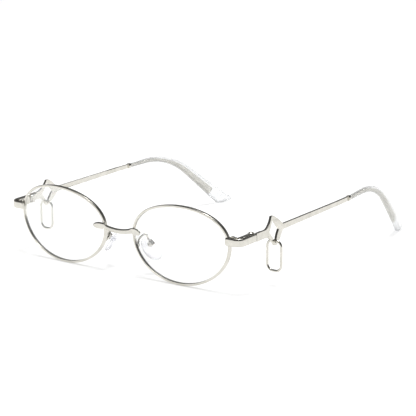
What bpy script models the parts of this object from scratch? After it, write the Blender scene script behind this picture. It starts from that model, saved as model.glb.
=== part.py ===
"""Oval wire spectacles with clear lenses, a star-shaped opening in each temple and a link hanging from it.

Metres, +Z up. The wearer looks along -Y, so the wearer's left is +X. Every piece is made on the left
side, in the frame of the worn spectacles: the rims stand upright, the temples run level, heights are
measured from the line through the lens centres and lengths from the plane of the rims. The right
pieces are mirrored copies. At the end everything is set down on its rims and temple tips.
"""

import math

import bmesh
import bpy
from mathutils import Matrix, Vector

MM = 0.001

# Lenses: clear, curved, with a V-shaped edge that sits in the rim's groove.
LENS_WIDTH = 49.4 * MM
LENS_HEIGHT = 33.15 * MM
LENS_DISTANCE = 16.6 * MM
LENS_FULLNESS = 0.088
LENS_SQUARENESS = 0.047
LENS_THICKNESS = 1.2 * MM
LENS_CURVE = 119.0 * MM
LENS_TURN = math.radians(2.8)
LENS_WRAP = math.radians(1.5)
LENS_BEVEL = 0.5 * MM
LENS_CLEARANCE = 0.1 * MM
LENS_FACETS = 56

# Rims: one thin wire round each lens, open behind the endpiece.
RIM_WALL = 1.0 * MM
RIM_DEPTH = 1.5 * MM
RIM_GROOVE = 0.45 * MM
RIM_ROUNDING = 0.22 * MM
RIM_SPLIT = 0.3 * MM

# The gap that solder fills between two soldered pieces.
SOLDER_GAP = 0.1 * MM

# Bridge: a bar with a leaf at each end that covers the rim and the lens's edge.
BRIDGE_RISE = 1.6 * MM
BRIDGE_ARCH = 1.1 * MM
BRIDGE_HEIGHT = 2.2 * MM
BRIDGE_THICKNESS = 1.2 * MM
LEAF_HEIGHT = 3.0 * MM
LEAF_THICKNESS = 0.85 * MM
LEAF_REACH = 4.7 * MM
LEAF_NECK = 1.6 * MM

# Endpieces: a band soldered over the rim's front, bent round to meet the temple.
ENDPIECE_HEIGHT = 3.4 * MM
ENDPIECE_THICKNESS = 1.15 * MM
ENDPIECE_REACH = 7.2 * MM
ENDPIECE_OVERLAP = 1.0 * MM
ENDPIECE_BEND = 3.4 * MM
BAND_CHAMFER = 0.2 * MM

# Temples: plate, star, bar and the blade inside the tip are one stamped piece.
TEMPLE_RISE = 5.3 * MM
HINGE_SETBACK = 11.05 * MM
TEMPLE_SPLIT = 0.12 * MM
PLATE_HEIGHT = 3.3 * MM
PLATE_DROP = 0.25 * MM
STAR_SETBACK = 23.1 * MM
STAR_HEIGHT = 12.2 * MM
STAR_CROWN = 0.7 * MM
STAR_STRIP = 1.0 * MM
STAR_OPENING = 6.6 * MM
STAR_FLARE_FRONT = 5.6 * MM
STAR_FLARE_REAR = 6.4 * MM
BAR_HEIGHT_FRONT = 2.2 * MM
BAR_HEIGHT_REAR = 1.8 * MM
COLLAR_SETBACK = 79.9 * MM
BLADE_THICKNESS = 0.9 * MM
BLADE_HEIGHT_FRONT = 1.2 * MM
BLADE_HEIGHT_REAR = 3.6 * MM
BLADE_WIDENING = 102.0 * MM
BLADE_SETBACK = 10.5 * MM
TEMPLE_LENGTH = 140.75 * MM
BEND_START = 92.2 * MM
BEND_RADIUS = 39.6 * MM
BEND_ANGLE = math.radians(42.7)
STAR_CANT = math.radians(6)
CURL_START = 66.4 * MM
CURL_RADIUS = 248.0 * MM

# Collars and clear tips over the blade.
COLLAR_LENGTH = 1.5 * MM
COLLAR_DIAMETER = 2.6 * MM
SLEEVE_CLEARANCE = 0.08 * MM
TIP_ABOVE = (0.95 * MM, 2.4 * MM, 4.4 * MM)
TIP_BELOW = (0.95 * MM, 1.4 * MM, 2.65 * MM)
TIP_THICKNESS_FRONT = 2.4 * MM
TIP_THICKNESS_REAR = 3.3 * MM
TIP_ROUNDING = 1.2 * MM
TIP_CORNER = 1.9 * MM
TIP_SLANT = 0.88
TIP_WALL = 0.5 * MM

# Hinges: two knuckles on the endpiece, one on the temple, a slotted screw through all three.
KNUCKLE_RADIUS = 1.45 * MM
KNUCKLE_HEIGHT = 0.9 * MM
KNUCKLE_GAP = 0.06 * MM
KNUCKLE_INSET = 0.25 * MM
HINGE_LEAF_THICKNESS = 0.8 * MM
HINGE_LEAF_LENGTH = 4.8 * MM
HINGE_BLOCK_START = 1.75 * MM
HINGE_BLOCK_LENGTH = 6.8 * MM
HINGE_BLOCK_THICKNESS = 2.2 * MM
HINGE_BLOCK_HEIGHT = 3.3 * MM
HINGE_CORNER_LENGTH = 8.85 * MM
HINGE_CORNER_INSET = 0.55 * MM
HINGE_SWING_GAP = 0.15 * MM
HINGE_SCREW_RADIUS = 0.6 * MM
HINGE_SCREW_FIT = 0.05 * MM
HINGE_HEAD_RADIUS = 1.1 * MM
HINGE_HEAD_HEIGHT = 0.4 * MM

# Rim locks: two blocks at the rim's open ends, drawn together by a screw.
LOCK_HEIGHT = 1.3 * MM
LOCK_WIDTH = 2.6 * MM
LOCK_DEPTH = 2.6 * MM
LOCK_SCREW_RADIUS = 0.45 * MM
LOCK_SCREW_FIT = 0.06 * MM
LOCK_HEAD_RADIUS = 0.85 * MM
LOCK_HEAD_HEIGHT = 0.4 * MM

# Pendant links: an oblong wire ring threaded through the star's opening.
LINK_WIDTH = 8.1 * MM
LINK_LENGTH = 13.9 * MM
LINK_WIRE = 1.05 * MM
LINK_CORNER = 2.7 * MM
LINK_SLACK = 0.1 * MM

# Nose pads on bent wire arms, each held by a screw in a small box. Places from the lens's inner edge.
PAD_OFFSET = Vector((3.45, 6.8, -4.2)) * MM
PAD_ALONG = Vector((0.676, 0.196, -0.711))
PAD_FACING = Vector((-0.755, 0.361, -0.548))
PAD_LENGTH = 11.3 * MM
PAD_WIDTH = 6.9 * MM
PAD_THICKNESS = 2.2 * MM
PAD_DROP = 1.75 * MM
PAD_SHIFT = -0.7 * MM
PAD_STAND_OFF = 1.4 * MM
PAD_BOX_LENGTH = 2.6 * MM
PAD_BOX_WALL = 0.45 * MM
PAD_BOX_BACK = 0.7 * MM
PAD_BOX_LIP = 0.9 * MM
PAD_STEM_THICKNESS = 0.9 * MM
PAD_STEM_RADIUS = 0.85 * MM
PAD_PLAY = 0.1 * MM
PAD_SCREW_RADIUS = 0.38 * MM
PAD_SCREW_FIT = 0.07 * MM
PAD_HEAD_RADIUS = 0.75 * MM
PAD_HEAD_HEIGHT = 0.4 * MM
ARM_WIRE = 0.9 * MM
ARM_FOOT = math.radians(191)
ARM_BENDS = (
    Vector((0.05, 2.7, -2.9)) * MM,
    Vector((0.5, 4.1, -1.0)) * MM,
    Vector((2.2, 5.6, -0.1)) * MM,
)

# Facets of round pieces.
ROUND_FACETS = 20
WIRE_RESOLUTION = 2

SCREW_SLOT_WIDTH = 0.28 * MM
SCREW_SLOT_DEPTH = 0.18 * MM
HEAD_SEAT = 0.05 * MM

# Places that follow from the sizes above.
LENS_CENTRE = (LENS_DISTANCE + LENS_WIDTH) / 2
INNER_EDGE = Vector((LENS_DISTANCE / 2, 0, 0))
SAG_AT_RIM_PLANE = (LENS_WIDTH / 2) ** 2 / (4 * LENS_CURVE)
RIM_OUTER = LENS_CLEARANCE - RIM_GROOVE + RIM_WALL
RIM_INNER = LENS_CLEARANCE - RIM_GROOVE
TEMPLE_OUTER = LENS_CENTRE + LENS_WIDTH / 2 + ENDPIECE_REACH
TEMPLE_MIDDLE = TEMPLE_OUTER - ENDPIECE_THICKNESS / 2
TEMPLE_INNER = TEMPLE_OUTER - ENDPIECE_THICKNESS
HINGE_LEAF_FACE = TEMPLE_INNER - SOLDER_GAP
HINGE_RISE = TEMPLE_RISE - PLATE_DROP
PIVOT = Vector((HINGE_LEAF_FACE - KNUCKLE_INSET - KNUCKLE_RADIUS, HINGE_SETBACK, HINGE_RISE))
HINGE_HALF_HEIGHT = 1.5 * KNUCKLE_HEIGHT + KNUCKLE_GAP
TIP_START = COLLAR_SETBACK + COLLAR_LENGTH + 2 * SLEEVE_CLEARANCE
TIP_END = HINGE_SETBACK + TEMPLE_LENGTH
BLADE_END = TIP_END - BLADE_SETBACK
STAR_INNER_HALF = STAR_HEIGHT / 2 - STAR_STRIP
PAD_PLACE = INNER_EDGE + PAD_OFFSET
LINK_DROP = PLATE_DROP + STAR_INNER_HALF - 0.75 * LINK_WIRE - LINK_SLACK
LINK_CANT = LINK_DROP * math.tan(STAR_CANT)
LINK_PIVOT = Vector((TEMPLE_MIDDLE + LINK_CANT, STAR_SETBACK, TEMPLE_RISE - LINK_DROP))

collection = None


def clear_scene():
    for obj in list(bpy.data.objects):
        bpy.data.objects.remove(obj, do_unlink=True)


def make_material(name, colour, roughness, metallic=0.0, transmission=0.0, ior=1.5):
    material = bpy.data.materials.new(name)
    material.use_nodes = True
    shader = material.node_tree.nodes["Principled BSDF"]
    shader.inputs["Base Color"].default_value = (*colour, 1.0)
    shader.inputs["Roughness"].default_value = roughness
    shader.inputs["Metallic"].default_value = metallic
    shader.inputs["Transmission Weight"].default_value = transmission
    shader.inputs["IOR"].default_value = ior
    return material


def mesh_from(bm):
    bmesh.ops.recalc_face_normals(bm, faces=bm.faces)
    mesh = bpy.data.meshes.new("shape")
    bm.to_mesh(mesh)
    bm.free()
    return mesh


def loft(rings, closed=False):
    """A skin through rings of equally many points, capped at both ends unless it closes on itself."""
    bm = bmesh.new()
    loops = [[bm.verts.new(point) for point in ring] for ring in rings]
    pairs = list(zip(loops, loops[1:]))
    if closed:
        pairs.append((loops[-1], loops[0]))
    count = len(rings[0])
    for near, far in pairs:
        for i in range(count):
            j = (i + 1) % count
            bm.faces.new((near[i], near[j], far[j], far[i]))
    if not closed:
        bm.faces.new(loops[0])
        bm.faces.new(loops[-1])
    return mesh_from(bm)


def box(low, high):
    bm = bmesh.new()
    bmesh.ops.create_cube(bm, size=1.0)
    size = Vector(high) - Vector(low)
    centre = (Vector(high) + Vector(low)) / 2
    place = Matrix.Translation(centre) @ Matrix.Diagonal((*size, 1.0))
    bmesh.ops.transform(bm, matrix=place, verts=bm.verts)
    return mesh_from(bm)


def bevelled(mesh, width, least_angle=math.radians(50)):
    """Every edge sharper than least_angle gets a narrow chamfer."""
    bm = bmesh.new()
    bm.from_mesh(mesh)
    edges = [edge for edge in bm.edges if edge.is_manifold and edge.calc_face_angle() > least_angle]
    bmesh.ops.bevel(bm, geom=edges, offset=width, segments=1, affect="EDGES", clamp_overlap=True)
    return mesh_from(bm)


def turned(profile):
    """A turned piece about Z from a profile of (radius, height) pairs, bottom first."""
    mesh = bpy.data.meshes.new("profile")
    points = [(radius, 0.0, height) for radius, height in reversed(profile)]
    mesh.from_pydata(points, [(i, i + 1) for i in range(len(points) - 1)], [])
    obj = bpy.data.objects.new("turned", mesh)
    bpy.context.scene.collection.objects.link(obj)
    screw = obj.modifiers.new("turn", "SCREW")
    screw.steps = ROUND_FACETS
    screw.render_steps = ROUND_FACETS
    bm = bmesh.new()
    bm.from_mesh(evaluated_mesh(obj))
    bpy.data.objects.remove(obj, do_unlink=True)
    bmesh.ops.holes_fill(bm, edges=[edge for edge in bm.edges if edge.is_boundary])
    return mesh_from(bm)


def evaluated_mesh(obj):
    bpy.context.view_layer.update()
    graph = bpy.context.evaluated_depsgraph_get()
    return bpy.data.meshes.new_from_object(obj.evaluated_get(graph), depsgraph=graph)


def combined(mesh, other, operation):
    """Boolean DIFFERENCE, UNION or INTERSECT of two meshes."""
    base = bpy.data.objects.new("base", mesh)
    tool = bpy.data.objects.new("tool", other)
    for obj in (base, tool):
        bpy.context.scene.collection.objects.link(obj)
    modifier = base.modifiers.new("combine", "BOOLEAN")
    modifier.object = tool
    modifier.operation = operation
    modifier.solver = "EXACT"
    result = evaluated_mesh(base)
    for obj in (base, tool):
        bpy.data.objects.remove(obj, do_unlink=True)
    return result


def placed(mesh, matrix):
    mesh.transform(matrix)
    return mesh


def mirrored(mesh):
    copy = mesh.copy()
    copy.transform(Matrix.Scale(-1, 4, (1, 0, 0)))
    copy.flip_normals()
    return copy


def wire(points, diameter, cyclic=False, smooth=False):
    """A round wire along the points, through a smooth curve if asked."""
    curve = bpy.data.curves.new("wire", "CURVE")
    curve.dimensions = "3D"
    curve.bevel_depth = diameter / 2
    curve.bevel_resolution = WIRE_RESOLUTION
    curve.use_fill_caps = True
    if smooth:
        curve.resolution_u = 5
        spline = curve.splines.new("BEZIER")
        spline.bezier_points.add(len(points) - 1)
        for knot, point in zip(spline.bezier_points, points):
            knot.co = point
            knot.handle_left_type = "AUTO"
            knot.handle_right_type = "AUTO"
    else:
        spline = curve.splines.new("POLY")
        spline.points.add(len(points) - 1)
        for knot, point in zip(spline.points, points):
            knot.co = (*point, 1.0)
        spline.use_cyclic_u = cyclic
    return mesh_of_curve(curve)


def mesh_of_curve(curve):
    obj = bpy.data.objects.new("curve", curve)
    bpy.context.scene.collection.objects.link(obj)
    mesh = evaluated_mesh(obj)
    bpy.data.objects.remove(obj, do_unlink=True)
    bm = bmesh.new()
    bm.from_mesh(mesh)
    bmesh.ops.remove_doubles(bm, verts=bm.verts, dist=0.001 * MM)
    return mesh_from(bm)


def flat_blank(outlines, thickness):
    """Sheet metal cut to the outlines, the first round it and the others round its openings."""
    curve = bpy.data.curves.new("blank", "CURVE")
    curve.dimensions = "2D"
    curve.fill_mode = "BOTH"
    curve.extrude = thickness / 2
    for outline in outlines:
        spline = curve.splines.new("POLY")
        spline.points.add(len(outline) - 1)
        for knot, (along, across) in zip(spline.points, outline):
            knot.co = (along, across, 0.0, 1.0)
        spline.use_cyclic_u = True
    return mesh_of_curve(curve)


def sliced(mesh, cuts):
    """Cuts across the length, so that the blank has points enough to bend."""
    bm = bmesh.new()
    bm.from_mesh(mesh)
    for cut in cuts:
        geometry = bm.verts[:] + bm.edges[:] + bm.faces[:]
        bmesh.ops.bisect_plane(bm, geom=geometry, dist=1e-7, plane_co=(cut, 0, 0), plane_no=(1, 0, 0))
    return mesh_from(bm)


def quadratic(start, control, end, count):
    """Points after start on a quadratic curve, up to end."""
    points = []
    for i in range(1, count + 1):
        t = i / count
        blend = [(1 - t) ** 2 * a + 2 * t * (1 - t) * b + t * t * c for a, b, c in zip(start, control, end)]
        points.append(tuple(blend))
    return points


def add_piece(name, mesh, material, carrier, side=1):
    """One named piece, mirrored to the right side where asked, that follows the empty which carries it."""
    if side < 0:
        mesh = mirrored(mesh)
    mesh.name = name
    mesh.materials.clear()
    mesh.materials.append(material)
    mesh.shade_smooth()
    mesh.set_sharp_from_angle(angle=math.radians(30))
    obj = bpy.data.objects.new(name, mesh)
    collection.objects.link(obj)
    obj.parent = carrier
    bpy.context.view_layer.update()
    obj.matrix_parent_inverse = carrier.matrix_world.inverted()
    return obj


def add_axis(name, place, carrier=None):
    empty = bpy.data.objects.new(name, None)
    empty.empty_display_size = 4 * MM
    collection.objects.link(empty)
    empty.location = place
    if carrier:
        empty.parent = carrier
        bpy.context.view_layer.update()
        empty.matrix_parent_inverse = carrier.matrix_world.inverted()
    bpy.context.view_layer.update()
    return empty


def lens_outline(angle, outwards=0.0, share=1.0):
    """A point of the lens's edge in its own flat frame, moved outwards or drawn in towards the centre."""
    half_width = LENS_WIDTH / 2
    half_height = LENS_HEIGHT / 2
    cosine, sine = math.cos(angle), math.sin(angle)
    swell = 1 + LENS_FULLNESS * sine + LENS_SQUARENESS * sine**2
    swelling = (LENS_FULLNESS + 2 * LENS_SQUARENESS * sine) * cosine
    edge = Vector((half_width * cosine * swell, half_height * sine))
    slope = half_width * (cosine * swelling - sine * swell)
    normal = Vector((half_height * cosine, -slope)).normalized()
    return edge * share + normal * outwards


def on_lens(flat, depth):
    """A point of the flat frame laid on the curved, turned and wrapped lens, depth behind its middle."""
    x = flat.x * math.cos(LENS_TURN) - flat.y * math.sin(LENS_TURN)
    z = flat.x * math.sin(LENS_TURN) + flat.y * math.cos(LENS_TURN)
    behind = flat.length_squared / (2 * LENS_CURVE) - SAG_AT_RIM_PLANE + depth
    outwards = Vector((math.cos(LENS_WRAP), math.sin(LENS_WRAP), 0))
    backwards = Vector((-math.sin(LENS_WRAP), math.cos(LENS_WRAP), 0))
    return Vector((LENS_CENTRE, 0, z)) + outwards * x + backwards * behind


def rim_angle_at(height):
    """The angle at which the lens's edge, on its outer side, is at a height above the lens centres."""
    low, high = -math.pi / 4, math.pi / 3
    for _ in range(40):
        middle = (low + high) / 2
        if on_lens(lens_outline(middle), 0.0).z < height:
            low = middle
        else:
            high = middle
    return middle


def lens_middle_y(x, height):
    """How far behind the rim plane the middle of the lens lies, at a place in the front view."""
    across = (x - LENS_CENTRE) / math.cos(LENS_WRAP)
    behind = (across**2 + height**2) / (2 * LENS_CURVE) - SAG_AT_RIM_PLANE
    return across * math.sin(LENS_WRAP) + behind * math.cos(LENS_WRAP)


def lens_mesh():
    half = LENS_THICKNESS / 2
    shoulder = -LENS_BEVEL - 0.1 * LENS_BEVEL
    front = [(0.2, 0.0, -half), (0.55, 0.0, -half), (0.85, 0.0, -half), (1.0, shoulder, -half)]
    edge = [(1.0, -LENS_BEVEL, -LENS_BEVEL), (1.0, 0.0, 0.0), (1.0, -LENS_BEVEL, LENS_BEVEL)]
    rear = [(share, outwards, -depth) for share, outwards, depth in reversed(front)]
    turn = [math.tau * i / LENS_FACETS for i in range(LENS_FACETS)]
    rings = []
    for share, outwards, depth in front + edge + rear:
        rings.append([on_lens(lens_outline(angle, outwards, share), depth) for angle in turn])
    return loft(rings)


def rim_section():
    """The wire's section as (outwards, depth) pairs, with the groove on its inner side."""
    half = RIM_DEPTH / 2
    soft = RIM_ROUNDING
    side = [(RIM_INNER, RIM_GROOVE), (RIM_INNER, half - soft / 2), (RIM_INNER + soft / 2, half)]
    side += [(RIM_OUTER - soft, half), (RIM_OUTER, half - 1.5 * soft)]
    mirrored_side = [(outwards, -depth) for outwards, depth in reversed(side)]
    return [(LENS_CLEARANCE, 0.0)] + side + mirrored_side


def rim_mesh(split):
    """The rim wire, from one side of its split round to the other."""
    half_gap = RIM_SPLIT / 2
    here = lens_outline(split)
    step = (lens_outline(split + 0.01) - here).length / 0.01
    low = split + half_gap / step
    high = split + math.tau - half_gap / step
    turn = [math.tau * i / LENS_FACETS for i in range(2 * LENS_FACETS)]
    stations = [low] + [angle for angle in turn if low + 0.02 < angle < high - 0.02] + [high]
    section = rim_section()
    rings = []
    for angle in stations:
        rings.append([on_lens(lens_outline(angle, outwards), depth) for outwards, depth in section])
    return loft(rings)


def rim_clearance(gap):
    """A ring round the lens that leaves room for the rim and the gap outside it."""
    turn = [math.tau * i / LENS_FACETS for i in range(LENS_FACETS)]
    deep = 2 * RIM_DEPTH
    section = [(-deep, -deep), (RIM_OUTER + gap, -deep), (RIM_OUTER + gap, deep), (-deep, deep)]
    rings = []
    for angle in turn:
        rings.append([on_lens(lens_outline(angle, outwards), depth) for outwards, depth in section])
    return loft(rings, closed=True)


def band_ring(centre, across, half_thickness, half_height, chamfer=BAND_CHAMFER):
    """An upright chamfered rectangle round centre, its thickness along across."""
    up = Vector((0, 0, 1))
    chamfer = min(chamfer, 0.6 * half_thickness, 0.6 * half_height)
    corners = []
    for side_t, side_h in ((1, 1), (-1, 1), (-1, -1), (1, -1)):
        long_t = (side_t * half_thickness, side_h * (half_height - chamfer))
        long_h = (side_t * (half_thickness - chamfer), side_h * half_height)
        pair = (long_t, long_h) if side_t == side_h else (long_h, long_t)
        corners.extend(pair)
    return [centre + across * t + up * h for t, h in corners]


def bridge_mesh():
    """Bar and leaves in one sweep along X; the leaves follow the front of the rims and lenses."""
    rim_edge = LENS_CENTRE - LENS_WIDTH / 2 - RIM_OUTER
    leaf_end = rim_edge + LEAF_REACH + 0.8 * MM
    leaf_rise = BRIDGE_RISE + BRIDGE_ARCH
    stations = []
    bar_steps = 6
    for i in range(bar_steps + 1):
        x = (rim_edge - LEAF_NECK) * i / bar_steps
        arch = BRIDGE_ARCH * (x / rim_edge) ** 2
        stations.append((x, BRIDGE_RISE + arch, BRIDGE_HEIGHT, BRIDGE_THICKNESS))
    leaf_start = rim_edge + 0.1 * MM
    shape = ((0.0, 0.86), (0.2, 0.97), (0.42, 1.0), (0.64, 0.93), (0.82, 0.75), (0.94, 0.48), (1.0, 0.22))
    for share, width in shape:
        x = leaf_start + share * (leaf_end - leaf_start)
        stations.append((x, leaf_rise, width * LEAF_HEIGHT, LEAF_THICKNESS))
    rings = []
    for x, rise, height, thickness in stations:
        clear = lens_middle_y(max(x, leaf_start), rise) - RIM_DEPTH / 2 - SOLDER_GAP
        centre = Vector((x, clear - thickness / 2, rise))
        rings.append(band_ring(centre, Vector((0, -1, 0)), thickness / 2, height / 2))
    mirror_rings = [[Vector((-p.x, p.y, p.z)) for p in ring] for ring in reversed(rings[1:])]
    return loft(mirror_rings + rings)


def endpiece_face():
    """How far behind the rim plane the back of the endpiece lies: just in front of the rim."""
    nearest = []
    for height in (HINGE_RISE - ENDPIECE_HEIGHT / 2, HINGE_RISE + ENDPIECE_HEIGHT / 2):
        for outwards in (RIM_INNER, RIM_OUTER):
            point = on_lens(lens_outline(rim_angle_at(height), outwards), -RIM_DEPTH / 2)
            nearest.append(point.y)
    return min(nearest) - SOLDER_GAP


def endpiece_mesh(rim_x):
    half = ENDPIECE_THICKNESS / 2
    front_y = endpiece_face() - half
    bend = Vector((TEMPLE_MIDDLE - ENDPIECE_BEND, front_y + ENDPIECE_BEND, HINGE_RISE))
    start = Vector((rim_x - ENDPIECE_OVERLAP, front_y, HINGE_RISE))
    forwards = Vector((0, -1, 0))
    full = ENDPIECE_HEIGHT / 2
    rings = [band_ring(start, forwards, 0.7 * half, 0.7 * full)]
    rings.append(band_ring(start + Vector((0.35 * MM, 0, 0)), forwards, half, full))
    steps = 9
    for i in range(steps + 1):
        angle = math.pi / 2 * i / steps
        across = Vector((math.sin(angle), -math.cos(angle), 0))
        rings.append(band_ring(bend + across * ENDPIECE_BEND, across, half, full))
    end = Vector((TEMPLE_MIDDLE, HINGE_SETBACK - TEMPLE_SPLIT / 2, HINGE_RISE))
    rings.append(band_ring(end, Vector((1, 0, 0)), half, full))
    return loft(rings)


def slotted_screw(shaft_radius, shaft_length, head_radius, head_height):
    """A screw along Z: its head sits on z = 0 and its shaft hangs below."""
    seat = HEAD_SEAT
    tip = 0.3 * shaft_radius
    profile = [
        (shaft_radius - tip, -shaft_length),
        (shaft_radius, -shaft_length + tip),
        (shaft_radius, seat),
        (head_radius, seat),
        (head_radius, seat + 0.6 * head_height),
        (0.8 * head_radius, seat + head_height),
    ]
    top = seat + head_height
    slot = box(
        (-2 * head_radius, -SCREW_SLOT_WIDTH / 2, top - SCREW_SLOT_DEPTH),
        (2 * head_radius, SCREW_SLOT_WIDTH / 2, top + SCREW_SLOT_DEPTH),
    )
    return combined(turned(profile), slot, "DIFFERENCE")


def hinge_profile(direction):
    """Knuckle barrel and leaf over the hinge's whole height, the leaf running forwards or backwards."""
    half = HINGE_HALF_HEIGHT
    barrel = turned([(KNUCKLE_RADIUS, -half), (KNUCKLE_RADIUS, half)])
    face = HINGE_LEAF_FACE - PIVOT.x
    ends = sorted((0.0, direction * HINGE_LEAF_LENGTH))
    leaf = box((face - HINGE_LEAF_THICKNESS, ends[0], -half), (face, ends[1], half))
    leaf = bevelled(leaf, 0.5 * BAND_CHAMFER)
    whole = combined(barrel, leaf, "UNION")
    bore = turned([(HINGE_SCREW_RADIUS + HINGE_SCREW_FIT, z) for z in (-2 * half, 2 * half)])
    return combined(whole, bore, "DIFFERENCE")


def knuckle_room(low, high, direction):
    """The space that the other leaf's knuckle between two heights needs."""
    reach = KNUCKLE_RADIUS + HINGE_SWING_GAP
    far = 2 * KNUCKLE_RADIUS
    ends = sorted((direction * reach, -direction * far))
    return box((-far, ends[0], low), (far, ends[1], high))


def hinge_front_mesh():
    """The fixed leaf with its two knuckles and the solid block in front of them, inside the endpiece."""
    face = HINGE_LEAF_FACE - PIVOT.x - 0.02 * MM
    level = HINGE_BLOCK_HEIGHT / 2
    low = (face - HINGE_BLOCK_THICKNESS, -HINGE_BLOCK_LENGTH, -level)
    block = bevelled(box(low, (face, -HINGE_BLOCK_START, level)), 0.5 * BAND_CHAMFER)
    low = (face - HINGE_BLOCK_THICKNESS, -HINGE_CORNER_LENGTH, -level)
    corner = box(low, (face - HINGE_CORNER_INSET, 0.5 * BAND_CHAMFER - HINGE_BLOCK_LENGTH, level))
    whole = combined(combined(hinge_profile(-1), block, "UNION"), corner, "UNION")
    half = KNUCKLE_HEIGHT / 2 + KNUCKLE_GAP
    room = knuckle_room(-half, half, -1)
    return placed(combined(whole, room, "DIFFERENCE"), Matrix.Translation(PIVOT))


def hinge_rear_mesh():
    half = KNUCKLE_HEIGHT / 2
    mesh = hinge_profile(1)
    for low, high in ((half, 2 * HINGE_HALF_HEIGHT), (-2 * HINGE_HALF_HEIGHT, -half)):
        mesh = combined(mesh, knuckle_room(low, high, 1), "DIFFERENCE")
    return placed(mesh, Matrix.Translation(PIVOT))


def hinge_screw_mesh():
    length = 2 * HINGE_HALF_HEIGHT - 0.1 * MM
    screw = slotted_screw(HINGE_SCREW_RADIUS, length, HINGE_HEAD_RADIUS, HINGE_HEAD_HEIGHT)
    return placed(screw, Matrix.Translation(PIVOT + Vector((0, 0, HINGE_HALF_HEIGHT))))


def lock_place(rim_x):
    """The middle of the two lock blocks, just outside the rim and behind the endpiece."""
    inner = rim_x + SOLDER_GAP
    outer = inner + LOCK_WIDTH
    bend_x = TEMPLE_MIDDLE - ENDPIECE_BEND
    inside = ENDPIECE_BEND - ENDPIECE_THICKNESS / 2
    front_y = endpiece_face() - ENDPIECE_THICKNESS / 2
    sideways = max(0.0, outer - bend_x)
    front = front_y + ENDPIECE_BEND - math.sqrt(inside**2 - sideways**2) + SOLDER_GAP
    return Vector(((inner + outer) / 2, front + LOCK_DEPTH / 2, HINGE_RISE))


def lock_block_mesh(rim_x, direction):
    """One block of the lock, cut to the rim that it is soldered to."""
    middle = lock_place(rim_x)
    near = direction * RIM_SPLIT / 2
    far = near + direction * LOCK_HEIGHT
    inwards = 3 * LOCK_WIDTH
    low = Vector((middle.x - inwards, middle.y - LOCK_DEPTH / 2, middle.z + min(near, far)))
    high = Vector((middle.x + LOCK_WIDTH / 2, middle.y + LOCK_DEPTH / 2, middle.z + max(near, far)))
    block = bevelled(box(low, high), 0.6 * BAND_CHAMFER)
    block = combined(block, rim_clearance(SOLDER_GAP), "DIFFERENCE")
    block = outer_part(block, middle.x)
    hole = turned([(LOCK_SCREW_RADIUS + LOCK_SCREW_FIT, z) for z in (-4 * LOCK_HEIGHT, 4 * LOCK_HEIGHT)])
    return combined(block, placed(hole, Matrix.Translation(middle)), "DIFFERENCE")


def outer_part(mesh, x):
    """The one closed part of a mesh that reaches the place x."""
    bm = bmesh.new()
    bm.from_mesh(mesh)
    left = set(bm.verts)
    while left:
        group = set()
        edge_of_group = [left.pop()]
        while edge_of_group:
            vert = edge_of_group.pop()
            group.add(vert)
            for edge in vert.link_edges:
                other = edge.other_vert(vert)
                if other in left:
                    left.discard(other)
                    edge_of_group.append(other)
        if max(vert.co.x for vert in group) < x:
            bmesh.ops.delete(bm, geom=list(group), context="VERTS")
    return mesh_from(bm)


def lock_screw_mesh(rim_x):
    length = 2 * LOCK_HEIGHT + RIM_SPLIT - 0.1 * MM
    screw = slotted_screw(LOCK_SCREW_RADIUS, length, LOCK_HEAD_RADIUS, LOCK_HEAD_HEIGHT)
    top = lock_place(rim_x) + Vector((0, 0, RIM_SPLIT / 2 + LOCK_HEIGHT))
    return placed(screw, Matrix.Translation(top))


def temple_line(along):
    """Place and slope of the temple's centre line at a length behind the rim plane."""
    turned_by = min(max(along - BEND_START, 0.0) / BEND_RADIUS, BEND_ANGLE)
    straight = min(along, BEND_START)
    rest = max(along - BEND_START - BEND_RADIUS * BEND_ANGLE, 0.0)
    y = straight + BEND_RADIUS * math.sin(turned_by) + rest * math.cos(turned_by)
    z = TEMPLE_RISE - BEND_RADIUS * (1 - math.cos(turned_by)) - rest * math.sin(turned_by)
    return y, z, turned_by


def bent(point):
    """A point of a straight blank (along, across, thickness) moved to the temple's worn shape."""
    y, z, slope = temple_line(point.x)
    y += point.y * math.sin(slope)
    z += point.y * math.cos(slope)
    inwards = max(y - CURL_START, 0.0) ** 2 / (2 * CURL_RADIUS)
    canted = point.y * math.tan(STAR_CANT) * cant_share(point.x)
    return Vector((TEMPLE_MIDDLE + point.z - inwards - canted, y, z))


def cant_share(along):
    """How much of the star's cant a place on the temple has: none on the plate and on most of the bar."""
    beside = max(abs(along - STAR_SETBACK) - STAR_OPENING / 2, 0.0)
    return max(0.0, 1 - beside / (STAR_FLARE_FRONT - STAR_OPENING / 2))


def bend_blank(mesh):
    for vert in mesh.vertices:
        vert.co = bent(vert.co)
    return mesh


def cuts_between(start, end):
    """Lengths at which a blank is cut: wide apart where it is straight, close together in the bend."""
    bend_end = BEND_START + BEND_RADIUS * BEND_ANGLE
    cuts = [start]
    place = start
    while place < end:
        in_bend = BEND_START - 3 * MM < place < bend_end
        place += 2.4 * MM if in_bend else 7.0 * MM
        cuts.append(min(place, end))
    return cuts


def blade_half_height(along):
    """Half the blade's height: slim at the collar, widening towards its end."""
    share = min(max((along - BLADE_WIDENING) / (BLADE_END - BLADE_WIDENING), 0.0), 1.0)
    return (BLADE_HEIGHT_FRONT + share * (BLADE_HEIGHT_REAR - BLADE_HEIGHT_FRONT)) / 2


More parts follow.
